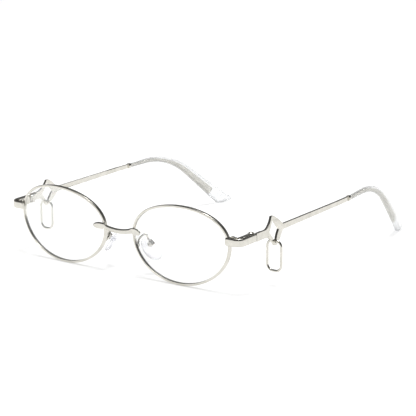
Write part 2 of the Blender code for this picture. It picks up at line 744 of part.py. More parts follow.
def star_edge(side):
    """The upper (1) or lower (-1) outer edge of the plate, star and bar, from the hinge to the collar."""
    plate = side * PLATE_HEIGHT / 2 - PLATE_DROP
    front_bar = side * BAR_HEIGHT_FRONT / 2
    tip = side * STAR_HEIGHT / 2 - PLATE_DROP
    front = (STAR_SETBACK - STAR_FLARE_FRONT, plate)
    rear = (STAR_SETBACK + STAR_FLARE_REAR, front_bar)
    front_waist = (STAR_SETBACK - 2.5 * MM, plate + side * 0.9 * MM)
    rear_waist = (STAR_SETBACK + 3.6 * MM, front_bar + side * 3.3 * MM - PLATE_DROP / 2)
    points = [(HINGE_SETBACK + TEMPLE_SPLIT / 2, plate), front]
    points += quadratic(front, front_waist, (STAR_SETBACK - STAR_CROWN, tip), 7)
    down = quadratic(rear, rear_waist, (STAR_SETBACK + STAR_CROWN, tip), 7)
    points += list(reversed(down)) + [rear, (COLLAR_SETBACK, side * BAR_HEIGHT_REAR / 2)]
    for along in (COLLAR_SETBACK, BLADE_WIDENING, BLADE_END - 0.5 * MM):
        points.append((along, side * blade_half_height(along)))
    return points + [(BLADE_END, side * 0.7 * blade_half_height(BLADE_END))]


def star_opening():
    """The opening inside the star, a diamond with hollow sides."""
    width = STAR_OPENING / 2
    height = STAR_INNER_HALF
    soft = 0.28 * MM
    hollow = 0.44
    quarter = [(soft, height)]
    quarter += quadratic((soft, height), (hollow * width, hollow * height), (width, soft), 6)
    ring = []
    for side_x, side_z in ((1, 1), (1, -1), (-1, -1), (-1, 1)):
        part = [(STAR_SETBACK + side_x * x, side_z * z - PLATE_DROP) for x, z in quarter]
        ring += part if side_x == side_z else list(reversed(part))
    return ring


def temple_mesh():
    """Plate, star, bar and blade, cut from one sheet, thinned for the blade and bent."""
    outline = star_edge(1) + list(reversed(star_edge(-1)))
    blank = flat_blank([outline, star_opening()], ENDPIECE_THICKNESS)
    blank = bevelled(blank, BAND_CHAMFER)
    thinning = COLLAR_SETBACK - 0.6 * MM
    cuts = [thinning, COLLAR_SETBACK] + cuts_between(CURL_START, BLADE_END - 1.0 * MM)
    blank = sliced(blank, sorted(cuts))
    for vert in blank.vertices:
        share = min(max((vert.co.x - thinning) / (COLLAR_SETBACK - thinning), 0.0), 1.0)
        vert.co.z *= 1 - share * (1 - BLADE_THICKNESS / ENDPIECE_THICKNESS)
    return facing_outwards(bend_blank(blank))


def facing_outwards(mesh):
    bm = bmesh.new()
    bm.from_mesh(mesh)
    return mesh_from(bm)


def sleeve_bore(start, end):
    """The space round the blade inside a collar or tip, as a straight blank."""
    clear = SLEEVE_CLEARANCE
    half = BLADE_THICKNESS / 2 + clear
    rings = []
    for along in cuts_between(start, end):
        tall = blade_half_height(along) + clear
        corners = ((-tall, -half), (tall, -half), (tall, half), (-tall, half))
        rings.append([Vector((along, across, thick)) for across, thick in corners])
    return loft(rings)


def collar_mesh():
    start = COLLAR_SETBACK + SLEEVE_CLEARANCE
    end = start + COLLAR_LENGTH
    ease = 0.2 * MM
    radius = COLLAR_DIAMETER / 2
    profile = [(radius - ease, start), (radius, start + ease), (radius, end - ease), (radius - ease, end)]
    ring = turned(profile)
    lying = Matrix(((0, 0, 1, 0), (1, 0, 0, 0), (0, 1, 0, 0), (0, 0, 0, 1)))
    ring = placed(ring, lying)
    bore = sleeve_bore(start - 1 * MM, end + 1 * MM)
    return facing_outwards(bend_blank(combined(ring, bore, "DIFFERENCE")))


def tip_ring(along, above, below, thickness, slant):
    """A rounded section of the tip, slanted so that its lower side ends first."""
    facets = 12
    squareness = 0.8
    middle = (above - below) / 2
    half_height = (above + below) / 2
    ring = []
    for i in range(facets):
        angle = math.tau * (i + 0.5) / facets
        c, s = math.cos(angle), math.sin(angle)
        across = middle + half_height * math.copysign(abs(c) ** squareness, c)
        thick = thickness / 2 * math.copysign(abs(s) ** squareness, s)
        ring.append(Vector((along + slant * across, across, thick)))
    return ring


def through(sizes, share):
    """A size that runs smoothly through its values at the start, in the middle and at the end."""
    first, middle, last = sizes
    control = 2 * middle - (first + last) / 2
    return (1 - share) ** 2 * first + 2 * share * (1 - share) * control + share**2 * last


def tip_mesh():
    """The clear sleeve over the blade: slim at the collar, broad and flat at the rounded end."""
    rounding_start = TIP_END - TIP_ROUNDING
    slant_start = BEND_START + BEND_RADIUS * BEND_ANGLE
    rings = []
    for along in cuts_between(TIP_START, rounding_start):
        share = (along - TIP_START) / (rounding_start - TIP_START)
        thickness = TIP_THICKNESS_FRONT + share * (TIP_THICKNESS_REAR - TIP_THICKNESS_FRONT)
        lean = min(max((along - slant_start) / (rounding_start - slant_start), 0.0), 1.0)
        above = through(TIP_ABOVE, share)
        below = through(TIP_BELOW, share)
        rings.append(tip_ring(along, above, below, thickness, TIP_SLANT * lean))
    for degrees in (30, 55, 75, 90):
        angle = math.radians(degrees)
        share = 1 - math.cos(angle)
        along = rounding_start + TIP_ROUNDING * math.sin(angle)
        above = TIP_ABOVE[2] - TIP_CORNER * share
        below = TIP_BELOW[2] - TIP_CORNER * share
        thickness = TIP_THICKNESS_REAR - 2 * TIP_ROUNDING * share
        rings.append(tip_ring(along, above, below, thickness, TIP_SLANT))
    blank = loft(rings)
    bore = sleeve_bore(TIP_START - 1 * MM, BLADE_END + TIP_WALL)
    return facing_outwards(bend_blank(combined(blank, bore, "DIFFERENCE")))


def link_mesh():
    """The link hangs straight down from its pivot, the middle of its upper bar."""
    half_width = (LINK_WIDTH - LINK_WIRE) / 2 - LINK_CORNER
    length = LINK_LENGTH - LINK_WIRE
    upper = -LINK_CORNER
    lower = LINK_CORNER - length
    corners = ((1, upper, 0), (-1, upper, 90), (-1, lower, 180), (1, lower, 270))
    steps = 6
    points = []
    for side, height, first in corners:
        for i in range(steps + 1):
            angle = math.radians(first + 90 * i / steps)
            x = side * half_width + LINK_CORNER * math.cos(angle)
            z = height + LINK_CORNER * math.sin(angle)
            points.append(LINK_PIVOT + Vector((x, 0, z)))
    return wire(points, LINK_WIRE, cyclic=True)


def pad_frame():
    """Across the pad, towards the nose and up the pad, from the screw that the pad rocks on."""
    along = PAD_ALONG.normalized()
    facing = (PAD_FACING - PAD_FACING.dot(along) * along).normalized()
    across = along.cross(facing)
    frame = Matrix((across, facing, -along)).transposed().to_4x4()
    return Matrix.Translation(PAD_PLACE) @ frame


def pad_box_mesh():
    half_slot = PAD_STEM_THICKNESS / 2 + PAD_PLAY
    half_width = half_slot + PAD_BOX_WALL
    floor = PAD_STEM_RADIUS + PAD_PLAY
    half_length = PAD_BOX_LENGTH / 2
    whole = box((-half_width, -floor - PAD_BOX_BACK, -half_length), (half_width, PAD_BOX_LIP, half_length))
    whole = bevelled(whole, BAND_CHAMFER)
    slot = box((-half_slot, -floor, -2 * half_length), (half_slot, 2 * PAD_BOX_LIP, 2 * half_length))
    whole = combined(whole, slot, "DIFFERENCE")
    whole = combined(whole, pad_screw_hole(), "DIFFERENCE")
    return placed(whole, pad_frame())


def pad_screw_hole():
    radius = PAD_SCREW_RADIUS + PAD_SCREW_FIT
    hole = turned([(radius, -10 * MM), (radius, 10 * MM)])
    return placed(hole, Matrix.Rotation(math.pi / 2, 4, "Y"))


def pad_screw_mesh():
    half_width = PAD_STEM_THICKNESS / 2 + PAD_PLAY + PAD_BOX_WALL
    screw = slotted_screw(PAD_SCREW_RADIUS, 2 * half_width - 0.1 * MM, PAD_HEAD_RADIUS, PAD_HEAD_HEIGHT)
    turn = Matrix.Rotation(-math.pi / 2, 4, "Y")
    return placed(screw, pad_frame() @ Matrix.Translation((-half_width, 0, 0)) @ turn)


def pad_mesh():
    """A soft oval pad, crowned towards the nose, with the stem that the screw holds."""
    facets = 22
    levels = ((0.0, 0.84), (0.14, 0.95), (0.36, 1.0), (0.62, 0.93), (0.82, 0.76), (0.95, 0.5), (1.0, 0.22))
    rings = []
    for level, share in levels:
        y = PAD_STAND_OFF + level * PAD_THICKNESS
        ring = []
        for i in range(facets):
            angle = math.tau * i / facets
            widening = 1 - 0.12 * math.sin(angle)
            x = share * PAD_WIDTH / 2 * math.cos(angle) * widening + PAD_SHIFT
            z = share * PAD_LENGTH / 2 * math.sin(angle) - PAD_DROP
            ring.append(Vector((x, y, z)))
        rings.append(ring)
    pad = loft(rings)
    half = PAD_STEM_THICKNESS / 2
    radius = PAD_STEM_RADIUS
    root = PAD_STAND_OFF + 0.4 * PAD_THICKNESS
    outline = []
    for i in range(9):
        angle = math.pi * (i / 8 - 0.5) + math.pi
        outline.append((radius * math.cos(angle), radius * math.sin(angle)))
    outline += [(root, -radius), (root, radius)]
    stem = loft([[Vector((x, y, z)) for y, z in outline] for x in (-half, half)])
    whole = combined(pad, stem, "UNION")
    return placed(combined(whole, pad_screw_hole(), "DIFFERENCE"), pad_frame())


def arm_mesh():
    """The bent wire from the back of the rim to the top of the pad box."""
    radius = ARM_WIRE / 2
    foot = lens_outline(ARM_FOOT, RIM_OUTER - RIM_WALL / 2)
    first = on_lens(foot, RIM_DEPTH / 2 + SOLDER_GAP)
    second = on_lens(foot, RIM_DEPTH / 2 + SOLDER_GAP + 0.4 * ARM_WIRE)
    back = -PAD_STEM_RADIUS - PAD_PLAY - PAD_BOX_BACK + radius
    end_height = PAD_BOX_LENGTH / 2 + SOLDER_GAP
    frame = pad_frame()
    above = frame @ Vector((0, back, end_height + ARM_WIRE))
    end = frame @ Vector((0, back, end_height))
    bends = [INNER_EDGE + bend for bend in ARM_BENDS]
    return wire([first, second, *bends, above, end], ARM_WIRE, smooth=True)


def resting_lean(rims, tips):
    """The angle at which rims and tips touch the same level surface."""
    rim_points = [point for obj in rims for point in world_points(obj)]
    tip_points = [point for obj in tips for point in world_points(obj)]

    def lowest(points, angle):
        return min(point.z * math.cos(angle) + point.y * math.sin(angle) for point in points)

    low = math.radians(-20)
    high = math.radians(20)
    for _ in range(40):
        middle = (low + high) / 2
        if lowest(tip_points, middle) < lowest(rim_points, middle):
            low = middle
        else:
            high = middle
    return high


def world_points(obj):
    return [obj.matrix_world @ vert.co for vert in obj.data.vertices]


def build_side(side, stance, metal, clear, pad_clear):
    """All pieces of one side, with the axes of its joints."""
    name = "left" if side > 0 else "right"

    def mirrored_place(place):
        return Vector((side * place.x, place.y, place.z))

    split = rim_angle_at(HINGE_RISE)
    rim_x = on_lens(lens_outline(split, RIM_OUTER), 0.0).x
    fold_axis = add_axis(f"fold_axis_{name}", mirrored_place(PIVOT), stance)
    link_axis = add_axis(f"link_axis_{name}", mirrored_place(LINK_PIVOT), fold_axis)
    pad_axis = add_axis(f"pad_axis_{name}", mirrored_place(PAD_PLACE), stance)
    rim = add_piece(f"rim_{name}", rim_mesh(split), metal, stance, side)
    add_piece(f"lens_{name}", lens_mesh(), clear, stance, side)
    add_piece(f"endpiece_{name}", endpiece_mesh(rim_x), metal, stance, side)
    add_piece(f"rim_lock_upper_{name}", lock_block_mesh(rim_x, 1), metal, stance, side)
    add_piece(f"rim_lock_lower_{name}", lock_block_mesh(rim_x, -1), metal, stance, side)
    add_piece(f"rim_lock_screw_{name}", lock_screw_mesh(rim_x), metal, stance, side)
    add_piece(f"hinge_front_{name}", hinge_front_mesh(), metal, stance, side)
    add_piece(f"hinge_screw_{name}", hinge_screw_mesh(), metal, stance, side)
    add_piece(f"pad_arm_{name}", arm_mesh(), metal, stance, side)
    add_piece(f"pad_box_{name}", pad_box_mesh(), metal, stance, side)
    add_piece(f"pad_screw_{name}", pad_screw_mesh(), metal, stance, side)
    add_piece(f"nose_pad_{name}", pad_mesh(), pad_clear, pad_axis, side)
    add_piece(f"hinge_rear_{name}", hinge_rear_mesh(), metal, fold_axis, side)
    add_piece(f"temple_{name}", temple_mesh(), metal, fold_axis, side)
    add_piece(f"collar_{name}", collar_mesh(), metal, fold_axis, side)
    tip = add_piece(f"temple_tip_{name}", tip_mesh(), clear, fold_axis, side)
    add_piece(f"pendant_link_{name}", link_mesh(), metal, link_axis, side)
    return rim, tip, link_axis


def set_down(stance, rims, tips, link_axes):
    """Leans the spectacles onto rims and tips, lets the links hang plumb and centres the whole."""
    lean = resting_lean(rims, tips)
    stance.rotation_euler.x = lean
    for axis in link_axes:
        axis.rotation_euler.x = -lean
    bpy.context.view_layer.update()
    points = [point for obj in collection.objects if obj.type == "MESH" for point in world_points(obj)]
    lowest = min(point.z for point in points)
    front = min(point.y for point in points)
    rear = max(point.y for point in points)
    stance.location = Vector((0, -(front + rear) / 2, -lowest))
    bpy.context.view_layer.update()
    return lean


def report_axes(lean):
    print(f"lean {math.degrees(lean):.3f} degrees")
    for obj in collection.objects:
        if obj.type == "EMPTY":
            place = obj.matrix_world.translation / MM
            print(f"{obj.name}: {place.x:.3f} {place.y:.3f} {place.z:.3f} mm")
    across = pad_frame().to_3x3().col[0]
    turned_axis = Matrix.Rotation(lean, 3, "X") @ across
    print(f"pad axis left: {turned_axis.x:.5f} {turned_axis.y:.5f} {turned_axis.z:.5f}")


def main():
    global collection
    clear_scene()
    collection = bpy.data.collections.new("oval_spectacles")
    bpy.context.scene.collection.children.link(collection)
    metal = make_material("silver_metal", (0.80, 0.78, 0.74), 0.16, metallic=1.0)
    clear = make_material("clear_plastic", (0.96, 0.98, 0.98), 0.05, transmission=1.0, ior=1.49)
    pad_clear = make_material("pad_silicone", (0.88, 0.90, 0.97), 0.2, transmission=0.9, ior=1.42)
    stance = add_axis("stance", Vector((0, 0, 0)))
    add_piece("bridge", bridge_mesh(), metal, stance)
    rims, tips, link_axes = [], [], []
    for side in (1, -1):
        rim, tip, link_axis = build_side(side, stance, metal, clear, pad_clear)
        rims.append(rim)
        tips.append(tip)
        link_axes.append(link_axis)
    lean = set_down(stance, rims, tips, link_axes)
    report_axes(lean)


main()
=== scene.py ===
import math
from functools import partial

import bmesh
import bpy
from mathutils import Matrix, Vector


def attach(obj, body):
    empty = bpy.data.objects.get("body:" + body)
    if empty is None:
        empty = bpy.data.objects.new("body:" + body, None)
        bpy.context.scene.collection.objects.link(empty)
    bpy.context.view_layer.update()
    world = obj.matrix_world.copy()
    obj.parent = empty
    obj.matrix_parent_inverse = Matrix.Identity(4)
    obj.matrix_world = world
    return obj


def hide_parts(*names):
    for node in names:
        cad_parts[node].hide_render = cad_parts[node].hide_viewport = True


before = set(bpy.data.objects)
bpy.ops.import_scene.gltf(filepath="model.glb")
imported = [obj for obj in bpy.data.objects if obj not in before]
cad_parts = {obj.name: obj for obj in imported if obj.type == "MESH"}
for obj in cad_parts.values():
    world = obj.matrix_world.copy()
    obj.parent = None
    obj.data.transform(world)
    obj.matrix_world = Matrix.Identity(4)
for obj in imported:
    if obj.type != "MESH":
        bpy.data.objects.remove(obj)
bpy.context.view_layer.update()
mm = 0.001
left, right = 1, -1
sideNames = {left: "left", right: "right"}
sideways, forwards, upwards = Vector((1, 0, 0)), Vector((0, -1, 0)), Vector((0, 0, 1))
print("frame: the packed model is loaded")


# the worn shape stands on its rims and temple tips, leaned forwards a little
stand = {"lean": math.radians(3.482), "back": -72.600 * mm, "rise": 17.228 * mm}
standing = Matrix.Translation((0, stand["back"], stand["rise"])) @ Matrix.Rotation(stand["lean"], 4, "X")


def newObject(name, data):
    obj = bpy.data.objects.new(name, data)
    bpy.context.scene.collection.objects.link(obj)
    return obj


# camera and room

cameraView = {
    "azimuth": 0.66321271, "elevation": 0.21558045, "roll": -0.00426020,   # radians
    "distance": 678.58 * mm, "target": (0, -12.6 * mm, 19.6 * mm), "clip": (0.01, 20),
    "slideAcross": 1.0553 * mm, "slideUp": -1.4509 * mm,
    "focalPixels": 1485.5, "pictureWidth": 416, "sensor": 36.0,
}


def makeCamera(c):
    sa, ca = math.sin(c["azimuth"]), math.cos(c["azimuth"])
    se, ce = math.sin(c["elevation"]), math.cos(c["elevation"])
    sr, cr = math.sin(c["roll"]), math.cos(c["roll"])
    back = Vector((sa * ce, -ca * ce, se))
    level = Vector((ca, sa, 0))
    plumb = back.cross(level)
    across = level * cr + plumb * sr
    up = plumb * cr - level * sr
    place = Vector(c["target"]) + across * c["slideAcross"] + up * c["slideUp"] + back * c["distance"]
    data = bpy.data.cameras.new("photoCamera")
    data.lens = c["focalPixels"] / c["pictureWidth"] * c["sensor"]
    data.sensor_width = c["sensor"]
    data.clip_start, data.clip_end = c["clip"]
    camera = newObject("photoCamera", data)
    camera.matrix_world = Matrix.Translation(place) @ Matrix((across, up, back)).transposed().to_4x4()
    bpy.context.scene.camera = camera


makeCamera(cameraView)
print("camera: at the photograph's view")


# floor, backdrop and light

room = {
    "floorReach": 12.0, "floorShade": (0.80, 0.80, 0.80), "floorGlow": 0.30, "footing": 0.02 * mm,
    "worldShade": (1.0, 1.0, 1.0), "worldStrength": 0.60,
    # the world's brightness from nadir (0) to zenith (1): a white horizon, a dark ceiling, a light overhead
    "skyBands": ((0.0, 1.0), (0.52, 1.0), (0.64, 0.12), (0.92, 0.08), (0.97, 0.60), (1.0, 0.70)),
    "flagTowards": (0.45, -0.85, 0.20), "flagFrom": 0.10, "flagTo": 0.75, "flagShade": 0.20,
    # name, place, size in metres and power in watts
    "softboxes": (("keySoftbox", (0.05, -0.10, 2.2), 0.6, 14.0),
                  ("fillSoftbox", (0.0, 0.25, 2.6), 1.6, 18.0)),
}


def newMaterial(name):
    material = bpy.data.materials.new(name)
    material.use_nodes = True
    material.node_tree.nodes.clear()
    return material


def addNode(tree, kind, inputs=None, **settings):
    # a node with its settings, and its inputs by name or number: values, other nodes or their outputs
    node = tree.nodes.new(kind)
    for key, value in settings.items():
        setattr(node, key, value)
    for key, value in (inputs or {}).items():
        if isinstance(value, bpy.types.Node):
            value = value.outputs[0]
        if isinstance(value, bpy.types.NodeSocket):
            tree.links.new(value, node.inputs[key])
        else:
            node.inputs[key].default_value = value
    return node


def nodeMath(tree, operation, *values):
    return addNode(tree, "ShaderNodeMath", dict(enumerate(values)), operation=operation)


def mathNodes(tree, *operations):
    return [partial(nodeMath, tree, operation) for operation in operations]


def makeFloor(r):
    reach = r["floorReach"]
    mesh = bpy.data.meshes.new("floor")
    corners = [(-reach, -reach), (reach, -reach), (reach, reach), (-reach, reach)]
    mesh.from_pydata([(x, y, -r["footing"]) for x, y in corners], [], [(0, 1, 2, 3)])
    material = newMaterial("floorWhite")
    tree = material.node_tree
    add = partial(addNode, tree)
    diffuse = add("ShaderNodeBsdfDiffuse", {"Color": (*r["floorShade"], 1)})
    glow = add("ShaderNodeEmission", {"Color": (1, 1, 1, 1), "Strength": r["floorGlow"]})
    path = add("ShaderNodeLightPath").outputs
    seen = nodeMath(tree, "MAXIMUM", path["Is Camera Ray"], path["Is Glossy Ray"])
    seen = nodeMath(tree, "MAXIMUM", seen, path["Is Transmission Ray"])
    both = add("ShaderNodeAddShader", {0: diffuse, 1: glow})
    mix = add("ShaderNodeMixShader", {0: seen, 1: diffuse, 2: both})
    add("ShaderNodeOutputMaterial", {"Surface": mix})
    mesh.materials.append(material)
    newObject("floor", mesh)


def makeWorld(r):
    world = bpy.data.worlds.new("studio")
    bpy.context.scene.world = world
    world.use_nodes = True
    tree = world.node_tree
    tree.nodes.clear()
    add = partial(addNode, tree)
    towards = add("ShaderNodeTexCoord").outputs["Generated"]
    height = add("ShaderNodeSeparateXYZ", {0: towards}).outputs["Z"]
    share = add("ShaderNodeMapRange", {"Value": height, "From Min": -1.0, "From Max": 1.0})
    sky = add("ShaderNodeValToRGB", {0: share})
    ramp = sky.color_ramp
    ramp.interpolation = "EASE"
    while len(ramp.elements) < len(r["skyBands"]):
        ramp.elements.new(1.0)
    for stop, (place, shade) in zip(ramp.elements, r["skyBands"]):
        stop.position = place
        stop.color = (shade, shade, shade, 1)
    facing = add("ShaderNodeVectorMath", {0: towards, 1: Vector(r["flagTowards"]).normalized()},
                 operation="DOT_PRODUCT")
    flag = add("ShaderNodeMapRange",
               {"Value": facing.outputs["Value"], "From Min": r["flagFrom"], "From Max": r["flagTo"],
                "To Min": 1.0, "To Max": r["flagShade"]}, interpolation_type="SMOOTHSTEP")
    shade = add("ShaderNodeMix", {0: 1.0, 6: sky, 7: flag}, data_type="RGBA", blend_type="MULTIPLY")
    studio = add("ShaderNodeBackground", {"Color": shade.outputs[2], "Strength": 1.0})
    white = {"Color": (*r["worldShade"], 1)}
    soft = add("ShaderNodeBackground", {**white, "Strength": r["worldStrength"]})
    backdrop = add("ShaderNodeBackground", {**white, "Strength": 1.0})
    path = add("ShaderNodeLightPath").outputs
    mirrored = nodeMath(tree, "MAXIMUM", path["Is Glossy Ray"], path["Is Transmission Ray"])
    lit = add("ShaderNodeMixShader", {0: mirrored, 1: soft, 2: studio})
    final = add("ShaderNodeMixShader", {0: path["Is Camera Ray"], 1: lit, 2: backdrop})
    add("ShaderNodeOutputWorld", {"Surface": final})


def addSoftbox(name, place, size, power):
    data = bpy.data.lights.new(name, "AREA")
    data.shape = "SQUARE"
    data.size = size
    data.energy = power
    lamp = newObject(name, data)
    lamp.location = place
    lamp.rotation_euler = (-Vector(place)).to_track_quat("-Z", "Y").to_euler()


makeFloor(room)
makeWorld(room)
for softbox in room["softboxes"]:
    addSoftbox(*softbox)
bpy.context.scene.view_settings.view_transform = "Standard"
print("room: white floor, studio world and two softboxes overhead")


# finishes

noise = {
    "roughness": 0.55, "usualRange": (0.3, 0.7),
    "cloudDetail": 3.0, "polishDetail": 4.0, "rippleDetail": 2.0,
}
silver = {
    "shade": (0.72, 0.70, 0.645), "deepShade": (0.60, 0.585, 0.53), "cloudScale": 260.0,
    "roughLow": 0.12, "roughHigh": 0.24, "polishScale": 1800.0, "polishStretch": (1.0, 0.14, 1.0),
    "bumpHeight": 0.004 * mm, "bumpStrength": 0.25,
}
clearLens = {
    "shade": (0.99, 1.0, 1.0), "ior": 1.5, "clarity": 1.0, "alpha": 0.15,
    "cloudScale": 70.0, "roughLow": 0.0, "roughHigh": 0.012,
    "rippleScale": 40.0, "bumpHeight": 0.002 * mm, "bumpStrength": 0.1,
}
clearTip = {
    "shade": (0.92, 0.94, 0.96), "ior": 1.49, "clarity": 0.7, "alpha": 0.5,
    "cloudScale": 120.0, "roughLow": 0.02, "roughHigh": 0.06,
    "rippleScale": 90.0, "bumpHeight": 0.02 * mm, "bumpStrength": 0.2,
}
clearPad = {
    "shade": (0.89, 0.90, 0.98), "ior": 1.42, "clarity": 0.85, "alpha": 0.5,
    "cloudScale": 300.0, "roughLow": 0.08, "roughHigh": 0.22,
    "rippleScale": 900.0, "bumpHeight": 0.02 * mm, "bumpStrength": 0.3,
}


def noiseOn(tree, scale, detail, stretch=(1, 1, 1)):
    coords = addNode(tree, "ShaderNodeTexCoord")
    placed = addNode(tree, "ShaderNodeMapping", {"Vector": coords.outputs["Object"], "Scale": stretch})
    cloud = addNode(tree, "ShaderNodeTexNoise",
                    {"Vector": placed, "Scale": scale, "Detail": detail, "Roughness": noise["roughness"]})
    return cloud.outputs["Fac"]


def spread(tree, value, low, high):
    lowest, highest = noise["usualRange"]
    return addNode(tree, "ShaderNodeMapRange",
                   {"Value": value, "From Min": lowest, "From Max": highest, "To Min": low, "To Max": high})


def finishMaterial(material, s, height, rough, inputs):
    # the shader with its roughness, its bump from the height and its other inputs
    tree = material.node_tree
    bump = addNode(tree, "ShaderNodeBump",
                   {"Height": height, "Strength": s["bumpStrength"], "Distance": s["bumpHeight"]})
    shader = addNode(tree, "ShaderNodeBsdfPrincipled", {**inputs, "Roughness": rough, "Normal": bump})
    addNode(tree, "ShaderNodeOutputMaterial", {"Surface": shader})
    return material


def makeSilver(s):
    material = newMaterial("polishedSilver")
    tree = material.node_tree
    cloud = spread(tree, noiseOn(tree, s["cloudScale"], noise["cloudDetail"]), 0.0, 1.0)
    shade = addNode(tree, "ShaderNodeMix", {0: cloud, 6: (*s["shade"], 1), 7: (*s["deepShade"], 1)},
                    data_type="RGBA")
    polish = noiseOn(tree, s["polishScale"], noise["polishDetail"], s["polishStretch"])
    rough = spread(tree, polish, s["roughLow"], s["roughHigh"])
    return finishMaterial(material, s, polish, rough, {"Base Color": shade.outputs[2], "Metallic": 1.0})


def makeClear(name, s):
    material = newMaterial(name)
    tree = material.node_tree
    cloud = noiseOn(tree, s["cloudScale"], noise["cloudDetail"])
    ripple = noiseOn(tree, s["rippleScale"], noise["rippleDetail"])
    return finishMaterial(material, s, ripple, spread(tree, cloud, s["roughLow"], s["roughHigh"]),
                          {"Base Color": (*s["shade"], 1), "IOR": s["ior"],
                           "Transmission Weight": s["clarity"], "Alpha": s["alpha"]})


# each finish under the record's slot that takes it
finishes = {
    "metal": makeSilver(silver), "lens": makeClear("clearLens", clearLens),
    "tip": makeClear("clearTip", clearTip), "pad": makeClear("clearPad", clearPad),
}
print("finishes: silver metal, clear lens, clear tip and clear pad")


# mesh helpers

shading = {"sharpest": math.radians(35), "bevelFrom": math.radians(40), "normalWeight": 60}


def quarterTurn(steps, first=0):
    return [math.radians(first + 90 * i / steps) for i in range(steps + 1)]


def roundAngles(count, shift=0.0):
    return [math.tau * (i + shift) / count for i in range(count)]


def between(first, last, share):
    return first + share * (last - first)


def clamped(share):
    return min(max(share, 0.0), 1.0)


def turnedOut(mesh, merge=0.0005 * mm, flat=None):
    # merges doubled points, joins faces that meet flatter than a given angle, and turns the faces outwards
    bm = bmesh.new()
    bm.from_mesh(mesh)
    bmesh.ops.remove_doubles(bm, verts=bm.verts, dist=merge)
    if flat:
        bmesh.ops.dissolve_limit(bm, angle_limit=flat, verts=bm.verts, edges=bm.edges)
    bmesh.ops.recalc_face_normals(bm, faces=bm.faces)
    bm.to_mesh(mesh)
    bm.free()
    return mesh


def skinMesh(name, rings, ends=(None, None)):
    # a skin through rings of equally many points, each end closed by a fan round a point or by a flat face
    count = len(rings[0])
    points = [tuple(point) for ring in rings for point in ring]
    last = (len(rings) - 1) * count
    faces = []
    for first in range(0, last, count):
        for i in range(count):
            j = (i + 1) % count
            faces.append((first + i, first + j, first + count + j, first + count + i))
    for point, first in zip(ends, (0, last)):
        ring = list(range(first, first + count))
        if point is None:
            faces.append(tuple(ring))
            continue
        points.append(tuple(point))
        faces += [(ring[i], ring[(i + 1) % count], len(points) - 1) for i in range(count)]
    mesh = bpy.data.meshes.new(name)
    mesh.from_pydata(points, [], faces)
    return turnedOut(mesh)


def evaluatedMesh(obj):
    bpy.context.view_layer.update()
    graph = bpy.context.evaluated_depsgraph_get()
    mesh = bpy.data.meshes.new_from_object(obj.evaluated_get(graph), depsgraph=graph)
    bpy.data.objects.remove(obj, do_unlink=True)
    return mesh


def evenNormals(mesh, **bevel):
    # the mesh with its edges bevelled where settings are given, and with its normals weighted by area
    obj = newObject("working", mesh)
    kinds = {"BEVEL": bevel} if bevel else {}
    kinds["WEIGHTED_NORMAL"] = {"keep_sharp": True, "weight": shading["normalWeight"]}
    for kind, settings in kinds.items():
        modifier = obj.modifiers.new(kind.lower(), kind)
        for key, value in settings.items():
            setattr(modifier, key, value)
    return evaluatedMesh(obj)


def roundedEdges(mesh, width, segments=3, sharpest=shading["bevelFrom"]):
    mesh.shade_smooth()
    return evenNormals(mesh, width=width, segments=segments, limit_method="ANGLE", angle_limit=sharpest,
                       use_clamp_overlap=True, harden_normals=False, miter_outer="MITER_ARC")


def mirroredMesh(mesh):
    copy = mesh.copy()
    copy.transform(Matrix.Scale(-1, 4, (1, 0, 0)))
    return turnedOut(copy)


def addPiece(name, mesh, slotName, body, nodes, sharpest=shading["sharpest"]):
    # one finished piece in the row frame, riding on its body in place of its CAD nodes
    mesh.name = name
    mesh.materials.clear()
    mesh.materials.append(finishes[slotName])
    if not mesh.has_custom_normals:
        mesh.shade_smooth()
        mesh.set_sharp_from_angle(angle=sharpest)
    obj = newObject(name, mesh)
    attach(obj, body)
    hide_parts(*nodes)


def addSides(name, mesh, slotName, bodies, node):
    # the left piece and its mirrored twin, both from a mesh made on the left in the worn frame
    mesh.transform(standing)
    for side, label in sideNames.items():
        sided = mesh if side == left else mirroredMesh(mesh)
        addPiece(name + label.capitalize(), sided, slotName, bodies[side], [f"{node}_{label}"])


front = {left: "front", right: "front"}
temples = {left: "left_temple", right: "right_temple"}
pads = {left: "left_pad", right: "right_pad"}


def roundedBand(centre, across, halfThick, halfHigh, rounding, steps=8, fullest=0.96):
    # a band's section round centre, its corners rounded by so much of its thickness and of its height
    roundThick, roundHigh = min(rounding[0], fullest * halfThick), min(rounding[1], fullest * halfHigh)
    ring = []
    for sideT, sideH, first in ((1, 1, 0), (-1, 1, 90), (-1, -1, 180), (1, -1, 270)):
        for angle in quarterTurn(steps, first):
            t = sideT * (halfThick - roundThick) + roundThick * math.cos(angle)
            h = sideH * (halfHigh - roundHigh) + roundHigh * math.sin(angle)
            ring.append(centre + across * t + upwards * h)
    return ring


# lenses: clear, curved, with a V-shaped edge in the rim's groove

lens = {
    "width": 49.4 * mm, "height": 33.15 * mm, "distance": 16.6 * mm, "thickness": 1.2 * mm,
    "fullness": 0.088, "squareness": 0.047, "curve": 119.0 * mm, "turn": math.radians(2.8),
    "wrap": math.radians(1.5), "bevel": 0.5 * mm, "clearance": 0.1 * mm, "facets": 144,
    "faceRings": (0.12, 0.3, 0.5, 0.7, 0.84, 0.94),   # shares of the outline
    # the shoulder and the edge in bevels: outwards, and in depth
    "shoulder": -1.15, "edge": ((-1.0, -0.86), (-0.04, -0.05), (-0.04, 0.05), (-1.0, 0.86)),
}
lensCentre = (lens["distance"] + lens["width"]) / 2
sagAtRims = (lens["width"] / 2) ** 2 / (4 * lens["curve"])


